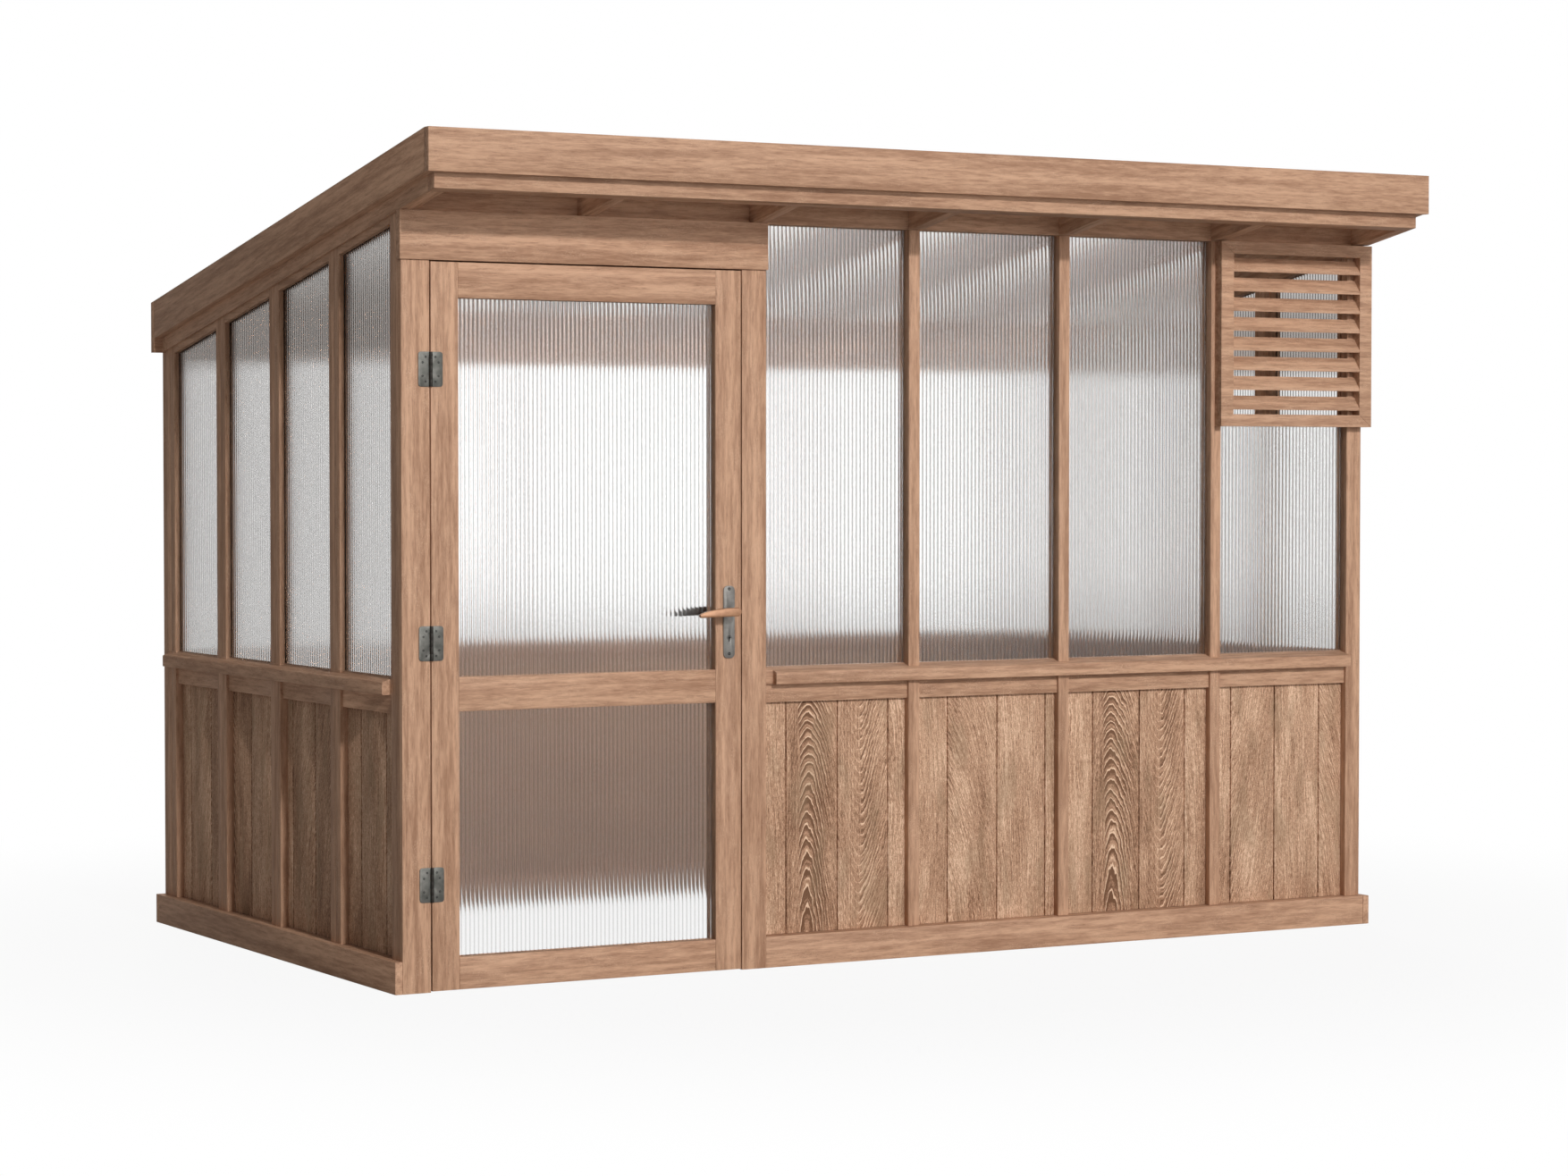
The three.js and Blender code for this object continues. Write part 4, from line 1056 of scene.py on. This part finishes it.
@dataclass
class Ironmongery:
    """Hinges, lock and levers.

    key_ring_open: share of the ring's radius below which it is open.
    key_shade_behind, rim and step: how far the middle of the dark disc of painted shade lies behind the back
    plate, how wide its rim is and how far that stands off, as shares of its thickness, width and thickness.
    """

    finishes: Finishes
    arris: float = 0.0004
    lever_arris: float = 0.0005
    plate_arris: float = 0.001
    barrel_radius: float = 0.0045
    leaf_middle: float = 0.0022
    hinge_screws: Sequence[tuple[float, float]] = (
        (0.014, 0.033), (0.023, 0.018), (0.023, -0.018), (0.014, -0.033))
    plate_screws: Sequence[float] = (0.0625, -0.1175)
    forend_screw: float = 0.006
    strike_screw: float = 0.009
    lever_below_top: float = 0.071
    key_below_lever: float = 0.0735
    key_ring: float = 0.0064
    key_ring_wire: float = 0.0008
    key_ring_open: float = 0.8
    key_ring_sides: int = 28
    key_wire_sides: int = 8
    key_shade: tuple[float, float, float] = (0.0105, 0.0002, 0.021)
    key_shade_below: float = 0.003
    key_shade_behind: float = 0.75
    key_shade_rim: float = 0.1
    key_shade_step: float = 0.2
    key_shade_sides: int = 24

    def part(self, node: str, body: Body, slot: Slot, material: bpy.types.Material,
             width: float) -> Piece:
        """Dresses one part of the door's fittings, and returns it."""
        piece = carried(node)
        soften(piece, width)
        return dress(piece, node + "_metal", body, material, [node])

    def mark_barrel_shade(self, piece: Piece, level: str) -> None:
        """Marks the faces of a hinge's barrel, round the pin of that level's hinge, for the barrel's painted
        shade.
        """
        low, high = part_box("hinge_frame_leaf_" + level)
        pin = Vector((high.x - self.barrel_radius, low.y + self.barrel_radius))
        piece.data.attributes.new("barrel", "FLOAT", "FACE")
        for face, layer in zip(piece.data.polygons, piece.data.attributes["barrel"].data):
            layer.value = float((face.center.xy - pin).length < self.barrel_radius + self.arris)

    def build(self) -> None:
        """Builds hinges, plates, levers, lock and strike."""
        for level in ("top", "middle", "bottom"):
            for side, body in (("frame", Body.GREENHOUSE), ("door", Body.DOOR)):
                leaf = self.part(f"hinge_{side}_leaf_{level}", body, Slot.HINGE_STEEL,
                                 self.finishes.hinge, self.arris)
                self.mark_barrel_shade(leaf, level)
        steel, dark = self.finishes.steel, self.finishes.dark
        self.part("outer_backplate", Body.DOOR, Slot.LOCK_STEEL, steel, self.plate_arris)
        self.part("inner_backplate", Body.DOOR, Slot.DARK_STEEL, dark, self.plate_arris)
        self.part("outer_lever", Body.LEVER, Slot.BRONZE, self.finishes.bronze, self.lever_arris)
        self.part("inner_lever", Body.LEVER, Slot.DARK_STEEL, dark, self.lever_arris)
        for node, body in (("lock_case", Body.DOOR), ("latch_bolt", Body.LATCH),
                           ("dead_bolt", Body.DEADBOLT), ("strike_plate", Body.GREENHOUSE)):
            self.part(node, body, Slot.LOCK_STEEL, steel, self.arris)
        self.key_rings()
        self.keyhole_painted_shades()
        log.info("%d screws", self.screws())

    def lever_axis(self) -> Vector:
        """Place of the lever's axis in the door, in the plane of the outer back plate's face."""
        low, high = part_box("outer_backplate")
        return Vector(((low.x + high.x) / 2, low.y, high.z - self.lever_below_top))

    def key_rings(self) -> None:
        """Raised ring round each keyhole, open below where the key's blade goes in."""
        axis = self.lever_axis()
        for name, y in (("outer", axis.y), ("inner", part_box("inner_backplate")[1].y)):
            bpy.ops.mesh.primitive_torus_add(
                major_radius=self.key_ring, minor_radius=self.key_ring_wire,
                major_segments=self.key_ring_sides, minor_segments=self.key_wire_sides,
                location=(axis.x, y, axis.z - self.key_below_lever), rotation=(math.pi / 2, 0, 0))
            ring = bpy.context.object
            settle_place(ring)
            opening = axis.z - self.key_below_lever - self.key_ring * self.key_ring_open
            with Editing(ring) as edit:
                edit.cut((0, 0, opening), (0, 0, 1), use_fill=True, clear_inner=True)
            smooth(ring)
            dress(ring, name + "_keyhole_ring", Body.DOOR, self.finishes.dark)

    def keyhole_painted_shades(self) -> None:
        """Dark disc behind each keyhole, between the back plate and the stile: painted shade inside the
        keyhole.
        """
        axis = self.lever_axis()
        middle = axis.z - self.key_below_lever - self.key_shade_below
        width, thickness, _ = self.key_shade
        behind = thickness * self.key_shade_behind
        for name, y in (("outer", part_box("outer_backplate")[1].y + behind),
                        ("inner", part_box("inner_backplate")[0].y - behind)):
            bpy.ops.mesh.primitive_cylinder_add(
                vertices=self.key_shade_sides, radius=0.5, depth=1.0,
                rotation=(math.pi / 2, 0, 0), location=(axis.x, y, middle))
            shade = bpy.context.object
            bpy.ops.object.transform_apply(location=False, rotation=True, scale=False)
            shade.scale = self.key_shade
            settle_place(shade)
            with Editing(shade) as edit:
                edit.pick(lambda face: abs(face.normal.y) > 0.9)
                bpy.ops.mesh.inset(thickness=width * self.key_shade_rim,
                                   depth=-thickness * self.key_shade_step)
            smooth(shade)
            # The disc takes the near-black screw material as painted shade inside the keyhole
            dress(shade, name + "_keyhole_shade", Body.DOOR, self.finishes.screw)

    @staticmethod
    def pair(x: float, y: float, foot: float, top: float, inset: float) -> list[Vector]:
        """Places of two screws, at an inset from a plate's foot and top."""
        return [Vector((x, y, z)) for z in (foot + inset, top - inset)]

    def screws(self) -> int:
        """Screws of the hinges, back plates, forend and strike plate, and how many they are."""
        frame_side, door_side = [], []
        for level in ("top", "middle", "bottom"):
            low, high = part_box("hinge_frame_leaf_" + level)
            centre = Vector((high.x - self.barrel_radius, high.y - self.leaf_middle, (low.z + high.z) / 2))
            for across, up in self.hinge_screws:
                frame_side.append(centre + Vector((-across, 0, up)))
                door_side.append(centre + Vector((across, 0, up)))
        heads = ScrewHeads(self.finishes)
        count = heads.build("hinge_screws_frame", Body.GREENHOUSE, frame_side)
        count += heads.build("hinge_screws_door", Body.DOOR, door_side)
        axis = self.lever_axis()
        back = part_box("inner_backplate")[1].y
        large = ScrewHeads(self.finishes, radius=0.0042, proud=0.0006, recess=0.0015)
        count += large.build("outer_plate_screws", Body.DOOR,
                             [axis + Vector((0, 0, up)) for up in self.plate_screws])
        count += large.build("inner_plate_screws", Body.DOOR,
                             [Vector((axis.x, back, axis.z + up)) for up in self.plate_screws], math.pi)
        low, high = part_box("lock_case")
        middle = (low.y + high.y) / 2
        count += heads.build("forend_screws", Body.DOOR,
                             self.pair(high.x, middle, low.z, high.z, self.forend_screw), math.pi / 2)
        low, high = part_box("strike_plate")
        count += heads.build("strike_screws", Body.GREENHOUSE,
                             self.pair(low.x, middle, low.z, high.z, self.strike_screw), -math.pi / 2)
        return count


@dataclass(frozen=True)
class Lamp:
    """Distant lamp: where its light comes from, its strength, and how wide it looks in degrees."""

    name: str
    source: Vector
    strength: float
    angle: float

    def build(self) -> None:
        """Hangs the lamp."""
        data = bpy.data.lights.new(self.name, "SUN")
        data.energy = self.strength
        data.angle = math.radians(self.angle)
        lamp = bpy.data.objects.new(self.name, data)
        lamp.rotation_euler = self.source.to_track_quat("Z", "Y").to_euler()
        bpy.context.scene.collection.objects.link(lamp)


@dataclass
class Studio:
    """Pale floor, soft lamps and the camera."""

    camera_place: tuple[float, float, float] = (-5.5120, -9.8660, 1.3797)
    camera_turn: tuple[float, float, float] = (88.261, 0.0, -29.224)
    lens: float = 85.23
    sensor: float = 36.0
    lamps: Sequence[Lamp] = (
        Lamp("key", Vector((-0.02, -1.0, 0.45)), 1.58, 3.0),
        Lamp("fill", Vector((0.25, -1.0, 0.1)), 1.08, 42.0),
        Lamp("rear", Vector((0.35, 1.0, 1.1)), 0.8, 12.0))
    sky: float = 0.2
    sky_tint: Colour = (1.0, 0.98, 0.96)
    sky_behind: float = 0.15
    sky_turns: tuple[float, float] = (-0.6, 0.4)
    floor_tone: Colour = (0.42, 0.41, 0.40)
    floor_size: float = 60.0
    floor_below: float = 0.0005
    floor_mirrored: float = 0.2
    floor_roughness: float = 0.9
    floor_white: float = 0.92
    floor_fades: tuple[float, float] = (1.6, 4.0)

    def camera(self) -> None:
        """Camera at the photograph's place."""
        data = bpy.data.cameras.new("camera")
        data.lens = self.lens
        data.sensor_width = self.sensor
        camera = bpy.data.objects.new("camera", data)
        camera.location = self.camera_place
        camera.rotation_euler = [math.radians(angle) for angle in self.camera_turn]
        bpy.context.scene.collection.objects.link(camera)
        bpy.context.scene.camera = camera

    def seen_directly(self, shader: Shader, mirrored: Value | float) -> Value:
        """Share of white for a ray: all of it from the camera or through glass, none for scattered light.

        Args:
            shader: tree of the world or the floor.
            mirrored: share for rays off metal or off the face of glass.

        Returns:
            The share.
        """
        path = shader.node("LightPath").outputs
        camera, glossy, through, scattered = (Value(shader, path[name]) for name in (
            "Is Camera Ray", "Is Glossy Ray", "Is Transmission Ray", "Diffuse Depth"))
        share = shader.math("MINIMUM", camera + through + glossy * mirrored, 1.0)
        return share * (1 - shader.math("MINIMUM", scattered, 1.0))

    def world(self) -> None:
        """White behind the object, a soft grey for the light on it, brighter in front for reflections."""
        world = bpy.data.worlds.new("studio")
        world.use_nodes = True
        bpy.context.scene.world = world
        shader = Shader(world.node_tree)
        white = shader.node("Background", {}, {"Color": WHITE, "Strength": 1.0})
        soft = shader.node("Background", {}, {"Color": self.sky_tint, "Strength": self.sky})
        ahead = 1 - shader.parts(shader.place())[1].over(*self.sky_turns)
        mixed = shader.node("MixShader", {}, {
            0: self.seen_directly(shader, self.sky_behind + (1 - self.sky_behind) * ahead),
            1: soft.outputs[0], 2: white.outputs[0]})
        shader.node("OutputWorld", {}, {"Surface": mixed.outputs[0]})

    def floor(self) -> None:
        """Plain pale floor that keeps the object's shadow and fades to white away from it."""
        bpy.ops.mesh.primitive_plane_add(size=self.floor_size, location=(0, 0, -self.floor_below))
        floor = bpy.context.object
        settle_place(floor)
        floor.name = "floor"
        shader, material = Shader.named("pale_floor")
        place = shader.place()
        distance = shader.node("VectorMath", {"operation": "LENGTH"}, {0: place}).outputs["Value"]
        away = Value(shader, distance).over(*self.floor_fades)
        plain = shader.principled({"Base Color": self.floor_tone, "Roughness": self.floor_roughness})
        white = shader.node("Emission", {}, {"Color": WHITE, "Strength": 1.0})
        share = self.seen_directly(shader, self.floor_mirrored)
        share = share * (self.floor_white + (1 - self.floor_white) * away)
        mixed = shader.node("MixShader", {}, {0: share, 1: plain, 2: white.outputs[0]})
        shader.finish(mixed.outputs[0])
        floor.data.materials.append(material)

    def build(self) -> None:
        """Builds the studio."""
        scene = bpy.context.scene
        scene.view_settings.view_transform = "Standard"
        self.camera()
        for lamp in self.lamps:
            lamp.build()
        self.world()
        self.floor()


def bay_joints(limits: Sequence[tuple[float, float]], shares: Sequence[Sequence[float]]) -> list[float]:
    """Places of the board joints in metres, from the bays' limits and the shares in each."""
    return [left + share * (right - left) for (left, right), own in zip(limits, shares) for share in own]


def bays(start: float, joints: Sequence[float], end: float, half: float) -> list[tuple[float, float]]:
    """Limits of a wall's bays, between timbers that reach half their width to each side of a joint."""
    starts = [start, *(joint + half for joint in joints)]
    ends = [*(joint - half for joint in joints), end]
    return list(zip(starts, ends))


FRONT_BAYS = bays(LOCK_POST_RIGHT, MULLIONS, CORNER_POST_LEFT, MULLION_WIDTH / 2)
SIDE_BAYS = bays(FRAME_DEPTH, SIDE_JOINTS, WALL_DEPTH - REAR_POST - STILE, STILE)
REAR_BAYS = bays(REAR_POST, REAR_JOINTS, WALL_WIDTH - REAR_POST, STILE)


def front_panes(glazing_edge: float = 0.0097) -> list[Pane]:
    """Panes of the front wall and the door."""
    panes = []
    for index, (left, right) in enumerate(FRONT_BAYS):
        node = f"front_pane_{index + 1}"
        low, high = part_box(node)
        panes.append(Pane(node + "_fluted", node, right - left + 2 * glazing_edge, low.z, high.z,
                          Vector((WALL_LEFT + left - glazing_edge, WALL_FRONT + FRONT_SETBACK, 0))))
    for node in ("door_upper_pane", "door_lower_pane"):
        low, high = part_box(node)
        panes.append(Pane(node + "_fluted", node, high.x - low.x, low.z, high.z,
                          Vector((low.x, low.y, 0)), body=Body.DOOR))
    return panes


def wall_panes(edge: float = 0.008) -> list[Pane]:
    """Panes of the end walls and the rear wall."""
    panes = []
    drop = END_EDGE + TOP_RAIL - GROOVE + CLEARANCE
    foot = SILL_TOP + CLEARANCE
    for index, (start, end) in enumerate(SIDE_BAYS):
        width = end - start + 2 * edge
        if index == 0:
            start, width = start + edge, width - edge
        left = Vector((WALL_LEFT + SETBACK, WALL_FRONT + end + edge, 0))
        right = Vector((WALL_LEFT + WALL_WIDTH - SETBACK, WALL_FRONT + start - edge, 0))
        panes.append(Pane(f"left_pane_{index + 1}", "glazing_left", width, foot, ROOF_TOP, left,
                          -math.pi / 2, slope=drop))
        panes.append(Pane(f"right_pane_{index + 1}", "glazing_right", width, foot, ROOF_TOP, right,
                          math.pi / 2, slope=drop))
    low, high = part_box("glazing_rear")
    for index, (start, end) in enumerate(REAR_BAYS):
        corner = Vector((WALL_LEFT + end + edge, WALL_FRONT + WALL_DEPTH - SETBACK, 0))
        panes.append(Pane(f"rear_pane_{index + 1}", "glazing_rear", end - start + 2 * edge, low.z, high.z,
                          corner, math.pi))
    return panes


def wall_frames(finishes: Finishes) -> list[WallFrame]:
    """Frames of the end walls and the rear wall."""
    soffit = roof_line(WALL_FRONT + WALL_DEPTH + REAR_REVEAL) - REAR_EDGE - TOP_RAIL
    ends = [WallFrame(finishes, node, Run.ALONG_Y, SIDE_JOINTS, STILE, (0.0, WALL_DEPTH - REAR_POST - STILE),
                      lambda place: roof_line(place.y) - END_EDGE - TOP_RAIL)
            for node in ("wall_frame_left", "wall_frame_right")]
    rear = WallFrame(finishes, "wall_frame_rear", Run.ALONG_X, REAR_JOINTS, STILE,
                     (REAR_POST, WALL_WIDTH - REAR_POST), lambda place: soffit)
    return [*ends, rear]


def boardings(finishes: Finishes) -> list[Boarding]:
    """Boards of the four walls, with the joints counted off the photograph in front and on the left."""
    front = bay_joints(FRONT_BAYS, [(0.184, 0.534, 0.882), (0.227, 0.582, 0.932),
                                    (0.196, 0.524, 0.846), (0.119, 0.464, 0.819)])
    side = bay_joints(SIDE_BAYS, [(0.249, 0.738), (0.449, 0.897), (0.147, 0.604), (0.332, 0.808)])
    rear = bay_joints(REAR_BAYS, [[(i + 0.5) / REAR_BOARDS for i in range(REAR_BOARDS)]] * 3)
    plain, wavy = Cut(-0.16, 4), Cut(-0.13, -8, 30)
    slanted, leaning = Cut(-0.12, 8, 62, 0.2), Cut(-0.13, -36, 20, 0.2)
    arched, swirled = Cut(-0.015, 8, 48, 1.0), Cut(-0.01, -34, 0, 0.5, -0.004)
    front_cuts = [plain, arched, swirled, wavy, slanted, plain, wavy,
                  arched, swirled, wavy, leaning, plain, slanted]
    return [
        Boarding(finishes, "boarding_front", Run.ALONG_X, front, 3, front_cuts),
        Boarding(finishes, "boarding_left", Run.ALONG_Y, side, 4, [plain, wavy, arched, slanted]),
        Boarding(finishes, "boarding_right", Run.ALONG_Y, side, 5, [wavy, plain, slanted, arched]),
        Boarding(finishes, "boarding_rear", Run.ALONG_X, rear, 6, [slanted, plain, arched, wavy, swirled])]


def main() -> None:
    """Builds the studio and every sub-assembly in order."""
    logging.basicConfig(level=logging.INFO, format="%(name)s: %(message)s")
    Studio().build()
    finishes = Finishes()
    log.info("studio and finishes made")
    log.info("%d timbers", Timbers(finishes).build())
    for wall in (*wall_frames(finishes), *boardings(finishes)):
        wall.build()
        log.info("%s", wall.node)
    log.info("%d panes in front", FlutedGlazing(finishes, front_panes(), FRONT_FLUTE).build())
    log.info("%d panes in the other walls", FlutedGlazing(finishes, wall_panes(), WALL_FLUTE).build())
    RoofSheet(finishes).build()
    log.info("roof sheet")
    Ironmongery(finishes).build()
    log.info("hinges, lock and levers")
    deselect()


if __name__ == "__main__":
    main()
